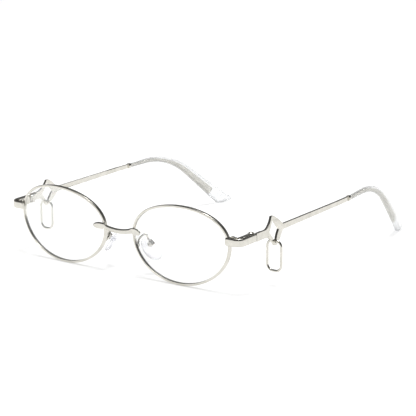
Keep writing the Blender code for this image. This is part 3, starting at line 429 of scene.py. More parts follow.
def lensOutline(angle, outwards=0.0, share=1.0):
    # an oval that is fuller above its middle, with a little square in its shoulders
    halfWide, halfHigh = lens["width"] / 2, lens["height"] / 2
    cosine, sine = math.cos(angle), math.sin(angle)
    swell = 1 + lens["fullness"] * sine + lens["squareness"] * sine**2
    swelling = (lens["fullness"] + 2 * lens["squareness"] * sine) * cosine
    edge = Vector((halfWide * cosine * swell, halfHigh * sine))
    slope = halfWide * (cosine * swelling - sine * swell)
    normal = Vector((halfHigh * cosine, -slope)).normalized()
    return edge * share + normal * outwards


def onLens(flat, depth):
    # a flat point laid on the curved, turned and wrapped lens, depth behind its middle
    x = flat.x * math.cos(lens["turn"]) - flat.y * math.sin(lens["turn"])
    z = flat.x * math.sin(lens["turn"]) + flat.y * math.cos(lens["turn"])
    behind = flat.length_squared / (2 * lens["curve"]) - sagAtRims + depth
    outwards = Vector((math.cos(lens["wrap"]), math.sin(lens["wrap"]), 0))
    backwards = Vector((-math.sin(lens["wrap"]), math.cos(lens["wrap"]), 0))
    return Vector((lensCentre, 0, z)) + outwards * x + backwards * behind


def rimAngleAt(height, low=-math.pi / 4, high=math.pi / 3, halvings=40):
    # the outline's angle on the temple's side where the lens reaches this height
    for _ in range(halvings):
        middle = (low + high) / 2
        if onLens(lensOutline(middle), 0.0).z < height:
            low = middle
        else:
            high = middle
    return middle


def lensMiddleY(x, height):
    across = (x - lensCentre) / math.cos(lens["wrap"])
    behind = (across**2 + height**2) / (2 * lens["curve"]) - sagAtRims
    return across * math.sin(lens["wrap"]) + behind * math.cos(lens["wrap"])


def makeLenses(c):
    half, bevel = c["thickness"] / 2, c["bevel"]
    face = [(share, 0.0, -half) for share in c["faceRings"]] + [(1.0, c["shoulder"] * bevel, -half)]
    edge = [(1.0, outwards * bevel, depth * bevel) for outwards, depth in c["edge"]]
    rows = face + edge + [(share, outwards, -depth) for share, outwards, depth in reversed(face)]
    rings = [[onLens(lensOutline(angle, outwards, share), depth) for angle in roundAngles(c["facets"])]
             for share, outwards, depth in rows]
    ends = [onLens(Vector((0, 0)), depth) for depth in (-half, half)]
    addSides("lens", skinMesh("lens", rings, ends), "lens", front, "lens")


makeLenses(lens)
print("lenses: two clear lenses")


# rims: one grooved wire swept round each lens by Geometry Nodes, open behind the endpiece

rim = {
    "wall": 1.0 * mm, "depth": 1.5 * mm, "groove": 0.45 * mm, "rounding": 0.26 * mm, "cornerSteps": 6,
    "split": 0.3 * mm, "stations": 320, "solder": 0.1 * mm,
}
rimInner = lens["clearance"] - rim["groove"]
rimOuter = rimInner + rim["wall"]
templeRise, plateDrop = 5.3 * mm, 0.25 * mm
hingeRise = templeRise - plateDrop


def newShapeTree(name, **inputs):
    # a tree with inputs named under their kind of socket, its own addNode, and the inputs' sockets
    tree = bpy.data.node_groups.new(name, "GeometryNodeTree")
    for way in ("INPUT", "OUTPUT"):
        tree.interface.new_socket("Geometry", in_out=way, socket_type="NodeSocketGeometry")
    for kind, labels in {**inputs, "Material": ["material"]}.items():
        for label in labels:
            tree.interface.new_socket(label, in_out="INPUT", socket_type="NodeSocket" + kind)
    return tree, partial(addNode, tree), addNode(tree, "NodeGroupInput").outputs


def closeTree(tree, shape, size):
    whole = addNode(tree, "GeometryNodeRealizeInstances", {0: shape})
    done = addNode(tree, "GeometryNodeSetMaterial", {0: whole, "Material": size["material"]})
    addNode(tree, "NodeGroupOutput", {0: done})
    return tree


def shapeFromTree(tree, values, startMesh=None):
    # the metal mesh that the tree makes of a start mesh, each input set to the value of its own name
    obj = newObject("working", startMesh or bpy.data.meshes.new("start"))
    modifier = obj.modifiers.new("shape", "NODES")
    modifier.node_group = tree
    values = {**values, "material": finishes["metal"]}
    for item in tree.interface.items_tree:
        if item.in_out == "INPUT" and item.name != "Geometry":
            modifier[item.identifier] = values[item.name]
    return turnedOut(evaluatedMesh(obj))


def rimSection(c):
    # the outline to sweep, outwards and in depth: the groove on the inner side, the other corners rounded
    half, soft = c["depth"] / 2, c["rounding"]
    side = [(rimInner, c["groove"]), (rimInner, half - 0.5 * soft),
            (rimInner + 0.15 * soft, half - 0.15 * soft), (rimInner + 0.5 * soft, half)]
    side += [(rimOuter - soft + soft * math.cos(angle), half - soft + soft * math.sin(angle))
             for angle in reversed(quarterTurn(c["cornerSteps"]))]
    outline = [(lens["clearance"], 0.0)] + side + [(outwards, -depth) for outwards, depth in reversed(side)]
    mesh = bpy.data.meshes.new("rimSection")
    count = len(outline)
    mesh.from_pydata([(x, y, 0.0) for x, y in outline], [(i, (i + 1) % count) for i in range(count)], [])
    return newObject("rimSection", mesh)


def buildRimTree():
    tree, add, size = newShapeTree(
        "rimWire", Int=["stations"], Object=["section"],
        Float=["width", "height", "fullness", "squareness", "curve", "turn", "wrap", "centre", "sag",
               "firstAngle", "lastAngle"])
    plus, minus, times, timesPlus, over, cosine, sine = mathNodes(
        tree, "ADD", "SUBTRACT", "MULTIPLY", "MULTIPLY_ADD", "DIVIDE", "COSINE", "SINE")
    line = add("GeometryNodeCurvePrimitiveLine", {"Start": (0, 0, 0), "End": (0, 0, 1)})
    path = add("GeometryNodeResampleCurve", {"Curve": line, "Count": size["stations"]})
    outline = add("GeometryNodeObjectInfo", {"Object": size["section"]})
    profile = add("GeometryNodeMeshToCurve", {"Mesh": outline.outputs["Geometry"]})
    bar = add("GeometryNodeCurveToMesh", {"Curve": path, "Profile Curve": profile, "Fill Caps": True})
    place = add("ShaderNodeSeparateXYZ", {0: add("GeometryNodeInputPosition")})
    outwards, depth, share = place.outputs
    angle = timesPlus(share, minus(size["lastAngle"], size["firstAngle"]), size["firstAngle"])
    angleCos, angleSin = cosine(angle), sine(angle)
    halfWide, halfHigh = times(size["width"], 0.5), times(size["height"], 0.5)
    squareness = times(size["squareness"], angleSin)
    rising = plus(size["fullness"], squareness)
    swell = timesPlus(rising, angleSin, 1.0)
    swelling = times(plus(rising, squareness), angleCos)
    steepness = minus(times(angleSin, swell), times(angleCos, swelling))
    slope = add("ShaderNodeCombineXYZ", {0: times(halfHigh, angleCos), 1: times(halfWide, steepness)})
    steep = add("ShaderNodeVectorMath", {0: slope}, operation="NORMALIZE")
    aside = add("ShaderNodeSeparateXYZ", {0: steep}).outputs
    flatX = timesPlus(aside[0], outwards, times(times(halfWide, angleCos), swell))
    flatZ = timesPlus(aside[1], outwards, times(halfHigh, angleSin))
    turnCos, turnSin = cosine(size["turn"]), sine(size["turn"])
    wrapCos, wrapSin = cosine(size["wrap"]), sine(size["wrap"])
    across = minus(times(flatX, turnCos), times(flatZ, turnSin))
    rise = timesPlus(flatX, turnSin, times(flatZ, turnCos))
    bowl = over(timesPlus(flatX, flatX, times(flatZ, flatZ)), times(size["curve"], 2.0))
    behind = plus(minus(bowl, size["sag"]), depth)
    x = minus(timesPlus(across, wrapCos, size["centre"]), times(behind, wrapSin))
    y = timesPlus(across, wrapSin, times(behind, wrapCos))
    bent = add("ShaderNodeCombineXYZ", {0: x, 1: y, 2: rise})
    moved = add("GeometryNodeSetPosition", {"Geometry": bar, "Position": bent})
    return closeTree(tree, moved, size)


def makeRims(c, nudge=0.01):
    split = rimAngleAt(hingeRise)
    step = (lensOutline(split + nudge) - lensOutline(split)).length / nudge
    opening = c["split"] / 2 / step
    section = rimSection(c)
    mesh = shapeFromTree(buildRimTree(), {
        **lens, "centre": lensCentre, "sag": sagAtRims, "stations": c["stations"], "section": section,
        "firstAngle": split + opening, "lastAngle": split + math.tau - opening,
    })
    bpy.data.objects.remove(section, do_unlink=True)
    addSides("rim", mesh, "metal", front, "rim")


makeRims(rim)
print("rims: two wires swept round the lenses")


# bridge: a bar with a leaf at each end, laid over the fronts of the rims

bridge = {
    "rise": 1.6 * mm, "arch": 1.1 * mm, "height": 2.2 * mm, "thickness": 1.2 * mm, "barSteps": 18,
    "rounding": (0.55 * mm, 0.95 * mm), "sharpest": math.radians(50), "neck": 1.6 * mm, "neckSteps": 5,
    "leafHeight": 3.0 * mm, "leafThickness": 0.85 * mm, "leafReach": 5.5 * mm, "leafInset": 0.1 * mm,
    "leafShape": ((0.0, 0.86), (0.1, 0.925), (0.2, 0.97), (0.31, 0.995), (0.42, 1.0), (0.53, 0.98),
                  (0.64, 0.93), (0.73, 0.855), (0.82, 0.75), (0.88, 0.645), (0.93, 0.52), (0.97, 0.37),
                  (0.99, 0.25), (1.0, 0.14)),
}


def makeBridge(c):
    rimEdge = lensCentre - lens["width"] / 2 - rimOuter
    neckStart, leafStart, leafEnd = rimEdge - c["neck"], rimEdge + c["leafInset"], rimEdge + c["leafReach"]
    leafThick, firstHeight = c["leafThickness"], c["leafShape"][0][1] * c["leafHeight"]
    stations = []
    for i in range(c["barSteps"] + 1):
        x = neckStart * i / c["barSteps"]
        stations.append((x, c["rise"] + c["arch"] * (x / rimEdge) ** 2, c["height"], c["thickness"]))
    neckRise, leafRise = stations[-1][1], c["rise"] + c["arch"]
    for i in range(1, c["neckSteps"]):
        share = i / c["neckSteps"]
        blend = share * share * (3 - 2 * share)
        stations.append((between(neckStart, leafStart, share), between(neckRise, leafRise, share),
                         between(c["height"], firstHeight, blend), between(c["thickness"], leafThick, blend)))
    stations += [(between(leafStart, leafEnd, share), leafRise, width * c["leafHeight"], leafThick)
                 for share, width in c["leafShape"]]
    rings = []
    for x, rise, height, thickness in stations:
        clear = lensMiddleY(max(x, leafStart), rise) - rim["depth"] / 2 - rim["solder"]
        centre = Vector((x, clear - thickness / 2, rise))
        rings.append(roundedBand(centre, forwards, thickness / 2, height / 2, c["rounding"]))
    mirrored = [[Vector((-p.x, p.y, p.z)) for p in ring] for ring in reversed(rings[1:])]
    mesh = skinMesh("bridge", mirrored + rings)
    mesh.transform(standing)
    addPiece("bridge", mesh, "metal", "front", ["bridge"], c["sharpest"])


makeBridge(bridge)
print("bridge: bar and leaves")


# endpieces: a band soldered over the rim's front, bent round to meet the temple

endpiece = {
    "height": 3.4 * mm, "thickness": 1.15 * mm, "reach": 7.2 * mm, "overlap": 1.0 * mm, "bend": 3.4 * mm,
    "rounding": (0.52 * mm, 1.0 * mm), "hingeSetback": 11.05 * mm, "templeSplit": 0.12 * mm,
    "nose": 0.55 * mm, "noseThinness": 0.28, "noseSteps": 6, "straightSteps": 6, "bendSteps": 30,
    "ease": 0.08 * mm,
}
templeOuter = lensCentre + lens["width"] / 2 + endpiece["reach"]
templeMiddle = templeOuter - endpiece["thickness"] / 2
rimSideX = onLens(lensOutline(rimAngleAt(hingeRise), rimOuter), 0.0).x


def endpieceBack(c):
    places = [onLens(lensOutline(rimAngleAt(height), outwards), -rim["depth"] / 2).y
              for height in (hingeRise - c["height"] / 2, hingeRise + c["height"] / 2)
              for outwards in (rimInner, rimOuter)]
    return min(places) - rim["solder"]


def makeEndpieces(c):
    half, full = c["thickness"] / 2, c["height"] / 2
    frontY = endpieceBack(c) - half
    bend = Vector((templeMiddle - c["bend"], frontY + c["bend"], hingeRise))
    start = Vector((rimSideX - c["overlap"], frontY, hingeRise))
    rings = []

    def addRing(place, across, thick=half, high=full):
        rings.append(roundedBand(place, across, thick, high, c["rounding"]))

    for angle in quarterTurn(c["noseSteps"]):
        short = 1 - math.sin(angle)
        addRing(start + sideways * c["nose"] * (1 - math.cos(angle)), forwards,
                half * (1 - c["noseThinness"] * short), full - c["nose"] * short)
    for i in range(1, c["straightSteps"]):
        place = start.lerp(Vector((bend.x, frontY, hingeRise)), i / c["straightSteps"])
        if place.x > start.x + c["nose"]:
            addRing(place, forwards)
    for angle in quarterTurn(c["bendSteps"]):
        across = Vector((math.sin(angle), -math.cos(angle), 0))
        addRing(bend + across * c["bend"], across)
    end = Vector((templeMiddle, c["hingeSetback"] - c["templeSplit"] / 2, hingeRise))
    addRing(end + forwards * c["ease"], sideways)
    addRing(end, sideways, half - c["ease"], full - c["ease"])
    addSides("endpiece", skinMesh("endpiece", rings), "metal", front, "endpiece")


makeEndpieces(endpiece)
print("endpieces: two bent bands")


# temples: plate, star, bar and the blade inside the tip, cut from one sheet and bent

temple = {
    "plateHeight": 3.3 * mm, "starSetback": 23.1 * mm, "starHeight": 12.2 * mm, "starCrown": 0.7 * mm,
    "starStrip": 1.0 * mm, "frontWaist": (2.5 * mm, 0.9 * mm), "rearWaist": (3.6 * mm, 3.3 * mm),
    "starOpening": 6.6 * mm, "openingSoft": 0.28 * mm, "openingHollow": 0.44, "edgeSteps": 16,
    "openingSteps": 14, "flareFront": 5.6 * mm, "flareRear": 6.4 * mm, "barFront": 2.2 * mm,
    "barRear": 1.8 * mm, "collarSetback": 79.9 * mm, "thinning": 0.6 * mm, "bladeThickness": 0.9 * mm,
    "bladeFront": 1.2 * mm, "bladeRear": 3.6 * mm, "bladeWidening": 102.0 * mm, "bladeSetback": 10.5 * mm,
    "bladeCorner": 0.6, "cornerSteps": 6, "length": 140.75 * mm, "bendStart": 92.2 * mm,
    "bendLead": 3 * mm, "bendRadius": 39.6 * mm, "bendAngle": math.radians(42.7),
    "starCant": math.radians(6), "curlStart": 66.4 * mm, "curlRadius": 248.0 * mm, "rounding": 0.27 * mm,
    "cuts": (3 * mm, 1.2 * mm),   # apart on the straight, and in the bend
    "softened": math.radians(50), "sharpest": math.radians(60),
}
tipEnd = endpiece["hingeSetback"] + temple["length"]
bladeEnd = tipEnd - temple["bladeSetback"]
starInnerHalf = temple["starHeight"] / 2 - temple["starStrip"]
bendEnd = temple["bendStart"] + temple["bendRadius"] * temple["bendAngle"]


def bentTemple(point):
    # a point of the straight blank, along, across and through it, moved to the worn shape
    start, radius = temple["bendStart"], temple["bendRadius"]
    slope = min(max(point.x - start, 0.0) / radius, temple["bendAngle"])
    rest = max(point.x - bendEnd, 0.0)
    y = min(point.x, start) + (radius + point.y) * math.sin(slope) + rest * math.cos(slope)
    z = templeRise - radius + (radius + point.y) * math.cos(slope) - rest * math.sin(slope)
    inwards = max(y - temple["curlStart"], 0.0) ** 2 / (2 * temple["curlRadius"])
    halfOpening = temple["starOpening"] / 2
    beside = max(abs(point.x - temple["starSetback"]) - halfOpening, 0.0)
    share = max(0.0, 1 - beside / (temple["flareFront"] - halfOpening))
    canted = point.y * math.tan(temple["starCant"]) * share
    return Vector((templeMiddle + point.z - inwards - canted, y, z))


def bendBlank(mesh):
    for vert in mesh.vertices:
        vert.co = bentTemple(vert.co)
    return turnedOut(mesh)


def cutsBetween(start, end, apart):
    cuts, place = [start], start
    while place < end:
        place += apart[temple["bendStart"] - temple["bendLead"] < place < bendEnd]
        cuts.append(min(place, end))
    return cuts


def bladeHalfHeight(along):
    share = clamped((along - temple["bladeWidening"]) / (bladeEnd - temple["bladeWidening"]))
    return between(temple["bladeFront"], temple["bladeRear"], share) / 2


def quadratic(first, control, last, share):
    return (1 - share) ** 2 * first + 2 * share * (1 - share) * control + share**2 * last


def quadraticPoints(start, control, end, count):
    return [tuple(quadratic(*row, i / count) for row in zip(start, control, end))
            for i in range(1, count + 1)]


def starEdge(c, side):
    # the upper (1) or lower (-1) edge of plate, star, bar and blade, from the hinge to the blade's end
    plate, frontBar = side * c["plateHeight"] / 2 - plateDrop, side * c["barFront"] / 2
    tip = side * c["starHeight"] / 2 - plateDrop
    centre, crown = c["starSetback"], c["starCrown"]
    frontFoot, rearFoot = (centre - c["flareFront"], plate), (centre + c["flareRear"], frontBar)
    frontWaist = (centre - c["frontWaist"][0], plate + side * c["frontWaist"][1])
    rearWaist = (centre + c["rearWaist"][0], frontBar + side * c["rearWaist"][1] - plateDrop / 2)
    points = [(endpiece["hingeSetback"] + endpiece["templeSplit"] / 2, plate), frontFoot]
    points += quadraticPoints(frontFoot, frontWaist, (centre - crown, tip), c["edgeSteps"])
    points += reversed(quadraticPoints(rearFoot, rearWaist, (centre + crown, tip), c["edgeSteps"]))
    points += [rearFoot, (c["collarSetback"], side * c["barRear"] / 2)]
    points += [(along, side * bladeHalfHeight(along)) for along in (c["collarSetback"], c["bladeWidening"])]
    endHalf = bladeHalfHeight(bladeEnd)
    corner = c["bladeCorner"] * endHalf
    points += [(bladeEnd - corner * (1 - math.sin(angle)), side * (endHalf - corner * (1 - math.cos(angle))))
               for angle in quarterTurn(c["cornerSteps"])[:-1]]
    return points


def starOpening(c):
    halfWide, halfHigh = c["starOpening"] / 2, starInnerHalf
    first, last = (c["openingSoft"], halfHigh), (halfWide, c["openingSoft"])
    control = (c["openingHollow"] * halfWide, c["openingHollow"] * halfHigh)
    quarter = [first] + quadraticPoints(first, control, last, c["openingSteps"])
    ring = []
    for sideX, sideZ in ((1, 1), (1, -1), (-1, -1), (-1, 1)):
        part = [(c["starSetback"] + sideX * x, sideZ * z - plateDrop) for x, z in quarter]
        ring += part if sideX == sideZ else reversed(part)
    return ring


def flatBlank(outlines, thickness):
    # sheet metal cut to the first outline, with the others as its openings
    curve = bpy.data.curves.new("blank", "CURVE")
    curve.dimensions = "2D"
    curve.fill_mode = "BOTH"
    curve.extrude = thickness / 2
    for outline in outlines:
        spline = curve.splines.new("POLY")
        spline.points.add(len(outline) - 1)
        for knot, (along, across) in zip(spline.points, outline):
            knot.co = (along, across, 0.0, 1.0)
        spline.use_cyclic_u = True
    return turnedOut(evaluatedMesh(newObject("blank", curve)), 0.001 * mm)


def softenedBlank(mesh, c, cuts):
    # rounds the sheet's edges and cuts it across, so that it has points enough to bend
    bm = bmesh.new()
    bm.from_mesh(mesh)
    edges = [edge for edge in bm.edges if edge.is_manifold and edge.calc_face_angle() > c["softened"]]
    bmesh.ops.bevel(bm, geom=edges, offset=c["rounding"], segments=3, profile=0.5, affect="EDGES",
                    clamp_overlap=True)
    for cut in cuts:
        whole = bm.verts[:] + bm.edges[:] + bm.faces[:]
        bmesh.ops.bisect_plane(bm, geom=whole, dist=1e-7, plane_co=(cut, 0, 0), plane_no=(1, 0, 0))
    bm.to_mesh(mesh)
    bm.free()
    return mesh


def makeTemples(c):
    outline = starEdge(c, 1) + list(reversed(starEdge(c, -1)))
    thinStart = c["collarSetback"] - c["thinning"]
    blank = flatBlank([outline, starOpening(c)], endpiece["thickness"])
    cuts = [thinStart, c["collarSetback"]] + cutsBetween(c["curlStart"], bladeEnd - c["cuts"][1], c["cuts"])
    blank = softenedBlank(blank, c, sorted(cuts))
    for vert in blank.vertices:
        share = clamped((vert.co.x - thinStart) / c["thinning"])
        vert.co.z *= between(1.0, c["bladeThickness"] / endpiece["thickness"], share)
    mesh = bendBlank(blank)
    mesh.shade_smooth()
    mesh.set_sharp_from_angle(angle=c["sharpest"])
    addSides("temple", evenNormals(mesh), "metal", temples, "temple")


makeTemples(temple)
print("temples: plate, star, bar and blade")


# collars: a small turned ring where the bar ends

collar = {
    "length": 1.5 * mm, "diameter": 2.6 * mm, "fit": 0.08 * mm, "ease": 0.22 * mm, "easeSteps": 5,
    "facets": 48,
}


def makeCollars(c):
    start = temple["collarSetback"] + c["fit"]
    end, radius, ease = start + c["length"], c["diameter"] / 2, c["ease"]
    profile = [(radius - ease + ease * math.sin(a), start + ease - ease * math.cos(a))
               for a in quarterTurn(c["easeSteps"])]
    profile += [(r, start + end - along) for r, along in reversed(profile)]
    rings = [[Vector((along, r * math.cos(a), r * math.sin(a))) for a in roundAngles(c["facets"])]
             for r, along in profile]
    ends = [Vector((profile[i][1], 0, 0)) for i in (0, -1)]
    addSides("collar", bendBlank(skinMesh("collar", rings, ends)), "metal", temples, "collar")


makeCollars(collar)
print("collars: two turned rings")


# temple tips: clear plastic moulded over the blade, slim at the collar and broad at the rounded end

tip = {
    "above": (0.95 * mm, 2.4 * mm, 4.4 * mm), "below": (0.95 * mm, 1.4 * mm, 2.65 * mm),
    "thickFront": 2.4 * mm, "thickRear": 3.3 * mm, "rounding": 1.2 * mm, "corner": 1.9 * mm, "slant": 0.88,
    "facets": 36, "endSteps": 9, "squareness": 0.8, "cuts": (2.0 * mm, 1.0 * mm),
}
tipStart = temple["collarSetback"] + collar["length"] + 2 * collar["fit"]


def tipRing(along, above, below, thickness, slant):
    ring = []
    for angle in roundAngles(tip["facets"], 0.5):
        c, s = math.cos(angle), math.sin(angle)
        across = (above - below) / 2 + (above + below) / 2 * math.copysign(abs(c) ** tip["squareness"], c)
        thick = thickness / 2 * math.copysign(abs(s) ** tip["squareness"], s)
        ring.append(Vector((along + slant * across, across, thick)))
    return ring


def through(sizes, share):
    first, middle, last = sizes
    return quadratic(first, 2 * middle - (first + last) / 2, last, share)


def makeTips(c):
    roundingStart = tipEnd - c["rounding"]
    rings = []
    for along in cutsBetween(tipStart, roundingStart, c["cuts"]):
        share = (along - tipStart) / (roundingStart - tipStart)
        lean = clamped((along - bendEnd) / (roundingStart - bendEnd))
        rings.append(tipRing(along, through(c["above"], share), through(c["below"], share),
                             between(c["thickFront"], c["thickRear"], share), c["slant"] * lean))
    for angle in quarterTurn(c["endSteps"])[1:]:
        share = 1 - math.cos(angle)
        rings.append(tipRing(roundingStart + c["rounding"] * math.sin(angle),
                             c["above"][2] - c["corner"] * share, c["below"][2] - c["corner"] * share,
                             c["thickRear"] - 2 * c["rounding"] * share, c["slant"]))
    addSides("tip", bendBlank(skinMesh("tip", rings)), "tip", temples, "temple_tip")


makeTips(tip)
print("tips: two clear sleeves")


# pendant links: an oblong wire ring hanging plumb through the star's opening, by Geometry Nodes

link = {
    "width": 8.1 * mm, "length": 13.9 * mm, "wire": 1.05 * mm, "corner": 2.7 * mm, "slack": 0.1 * mm,
    "cornerSteps": 14, "wireFacets": 24,
    "perch": 0.75,   # from the opening's lowest point to the wire's middle, in wires
}


def buildLinkTree():
    tree, add, size = newShapeTree("wireLink", Float=["width", "length", "wire", "corner"],
                                   Int=["cornerSteps", "wireFacets"], Vector=["place"])
    minus, times = mathNodes(tree, "SUBTRACT", "MULTIPLY")
    wide, tall = minus(size["width"], size["wire"]), minus(size["length"], size["wire"])
    oblong = add("GeometryNodeCurvePrimitiveQuadrilateral", {"Width": wide, "Height": tall})
    rounded = add("GeometryNodeFilletCurve",
                  {"Curve": oblong, "Count": size["cornerSteps"], "Radius": size["corner"]}, mode="POLY")
    section = add("GeometryNodeCurvePrimitiveCircle",
                  {"Resolution": size["wireFacets"], "Radius": times(size["wire"], 0.5)})
    wire = add("GeometryNodeCurveToMesh", {"Curve": rounded, "Profile Curve": section})
    lowered = add("ShaderNodeCombineXYZ", {2: times(tall, -0.5)})
    place = add("ShaderNodeVectorMath", {0: lowered, 1: size["place"]}, operation="ADD")
    hung = add("GeometryNodeTransform",
               {"Geometry": wire, "Translation": place, "Rotation": (math.pi / 2, 0, 0)})
    return closeTree(tree, hung, size)


def makeLinks(c):
    drop = plateDrop + starInnerHalf - c["perch"] * c["wire"] - c["slack"]
    cant = drop * math.tan(temple["starCant"])
    place = standing @ Vector((templeMiddle + cant, temple["starSetback"], templeRise - drop))
    tree = buildLinkTree()
    for side, label in sideNames.items():
        mesh = shapeFromTree(tree, {**c, "place": (side * place.x, place.y, place.z)})
        addPiece("link" + label.capitalize(), mesh, "metal", f"{label}_link", [f"pendant_link_{label}"])


makeLinks(link)
print("links: two wire rings")


# nose pads: soft clear ovals crowned towards the nose, each with the stem that its screw holds

pad = {
    "offset": (3.45 * mm, 6.8 * mm, -4.2 * mm), "along": (0.676, 0.196, -0.711),
    "facing": (-0.755, 0.361, -0.548), "length": 11.3 * mm, "width": 6.9 * mm, "thickness": 2.2 * mm,
    "narrowing": 0.12, "drop": 1.75 * mm, "shift": -0.7 * mm, "standOff": 1.4 * mm, "facets": 64,
    "crown": ((0.0, 0.80), (0.03, 0.86), (0.14, 0.95), (0.25, 0.988), (0.36, 1.0), (0.49, 0.98), (0.62, 0.93),
              (0.73, 0.855), (0.82, 0.76), (0.89, 0.64), (0.95, 0.5), (0.985, 0.33), (1.0, 0.16)),
    "stemThickness": 0.9 * mm, "stemRadius": 0.85 * mm, "stemDepth": 0.4, "stemSteps": 10,
    "stemRounding": 0.1 * mm, "stemSharpest": math.radians(50), "play": 0.1 * mm,
}
innerEdge = Vector((lens["distance"] / 2, 0, 0))


def padFrame(c):
    # across the pad, towards the nose and up the pad, from the screw that it rocks on
    along = Vector(c["along"]).normalized()
    facing = Vector(c["facing"])
    facing = (facing - facing.dot(along) * along).normalized()
    turn = Matrix((along.cross(facing), facing, -along)).transposed().to_4x4()
    return Matrix.Translation(innerEdge + Vector(c["offset"])) @ turn


padPlace = padFrame(pad)


def joined(meshes):
    bm = bmesh.new()
    for mesh in meshes:
        bm.from_mesh(mesh)
    whole = bpy.data.meshes.new("joined")
    bm.to_mesh(whole)
    bm.free()
    return whole


def makePads(c):
    middle = Vector((c["shift"], c["standOff"], -c["drop"]))
    rings = []
    for level, share in c["crown"]:
        halfWide, halfLong = share * c["width"] / 2, share * c["length"] / 2
        rings.append([middle + Vector((halfWide * math.cos(a) * (1 - c["narrowing"] * math.sin(a)),
                                       level * c["thickness"], halfLong * math.sin(a)))
                      for a in roundAngles(c["facets"])])
    ends = [middle + Vector((0, level * c["thickness"], 0)) for level in (0, 1)]
    soft = skinMesh("pad", rings, ends)
    half, radius = c["stemThickness"] / 2, c["stemRadius"]
    root = c["standOff"] + c["stemDepth"] * c["thickness"]
    outline = [(radius * math.cos(a), radius * math.sin(a))
               for a in quarterTurn(c["stemSteps"], 90) + quarterTurn(c["stemSteps"], 180)[1:]]
    outline += [(root, -radius), (root, radius)]
    stem = skinMesh("stem", [[Vector((x, y, z)) for y, z in outline] for x in (-half, half)])
    mesh = joined([soft, roundedEdges(stem, c["stemRounding"], sharpest=c["stemSharpest"])])
    mesh.transform(padPlace)
    addSides("pad", mesh, "pad", pads, "nose_pad")


makePads(pad)
print("pads: two soft ovals")


# pad arms: a bent wire from the back of the rim to the pad's box

arm = {
    "wire": 0.9 * mm, "foot": math.radians(191), "footRise": 0.4, "boxLength": 2.6 * mm,
    "boxBack": 0.7 * mm, "steps": 14, "roundness": 6,
    "bends": ((0.05 * mm, 2.7 * mm, -2.9 * mm), (0.5 * mm, 4.1 * mm, -1.0 * mm),
              (2.2 * mm, 5.6 * mm, -0.1 * mm)),
}


def smoothWire(points, c):
    curve = bpy.data.curves.new("wire", "CURVE")
    curve.dimensions = "3D"
    curve.bevel_depth = c["wire"] / 2
    curve.bevel_resolution = c["roundness"]
    curve.use_fill_caps = True
    curve.resolution_u = c["steps"]
    spline = curve.splines.new("BEZIER")
    spline.bezier_points.add(len(points) - 1)
    for knot, point in zip(spline.bezier_points, points):
        knot.co = point
        knot.handle_left_type = knot.handle_right_type = "AUTO"
    return turnedOut(evaluatedMesh(newObject("wire", curve)))


def makeArms(c):
    gap = rim["solder"]
    foot = lensOutline(c["foot"], rimOuter - rim["wall"] / 2)
    points = [onLens(foot, rim["depth"] / 2 + gap + rise * c["wire"]) for rise in (0, c["footRise"])]
    points += [innerEdge + Vector(bend) for bend in c["bends"]]
    back = -pad["stemRadius"] - pad["play"] - c["boxBack"] + c["wire"] / 2
    end = c["boxLength"] / 2 + gap
    points += [padPlace @ Vector((0, back, height)) for height in (end + c["wire"], end)]
    addSides("padArm", smoothWire(points, c), "metal", front, "pad_arm")


makeArms(arm)
print("arms: two bent wires")


# hinges, locks and pad boxes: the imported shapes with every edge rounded

fittings = {
    "rounding": 0.075 * mm, "segments": 3, "flat": math.radians(1.5), "merge": 0.001 * mm,
    "pieces": (("hingeFront", "hinge_front", front), ("hingeRear", "hinge_rear", temples),
               ("lockUpper", "rim_lock_upper", front), ("lockLower", "rim_lock_lower", front),
               ("padBox", "pad_box", front)),
}


def makeFittings(c):
    for name, node, bodies in c["pieces"]:
        for side, label in sideNames.items():
            full = f"{node}_{label}"
            mesh = turnedOut(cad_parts[full].data.copy(), c["merge"], c["flat"])
            mesh = roundedEdges(mesh, c["rounding"], c["segments"])
            addPiece(name + label.capitalize(), mesh, "metal", bodies[side], [full])


makeFittings(fittings)
print("fittings: hinge leaves, lock blocks and pad boxes")


# screws: slotted heads on their shafts, one tree for the hinge, lock and pad screws

screw = {
    "slotWidth": 0.28 * mm, "slotDepth": 0.18 * mm, "seat": 0.05 * mm, "facets": 40, "chamfer": 0.8,
    "headHeight": 0.4 * mm,
    "hinge": {"shaftRadius": 0.6 * mm, "shaftLength": 2.72 * mm, "headRadius": 1.1 * mm},
    "lock": {"shaftRadius": 0.45 * mm, "shaftLength": 2.8 * mm, "headRadius": 0.85 * mm},
    "pad": {"shaftRadius": 0.38 * mm, "shaftLength": 1.9 * mm, "headRadius": 0.75 * mm},
    "pinInset": 1.7 * mm, "knuckle": 0.9 * mm, "knuckleGap": 0.06 * mm, "lockHeight": 1.3 * mm,
    "lockWidth": 2.6 * mm, "lockDepth": 2.6 * mm, "boxWall": 0.45 * mm, "rimShare": 0.6,
}


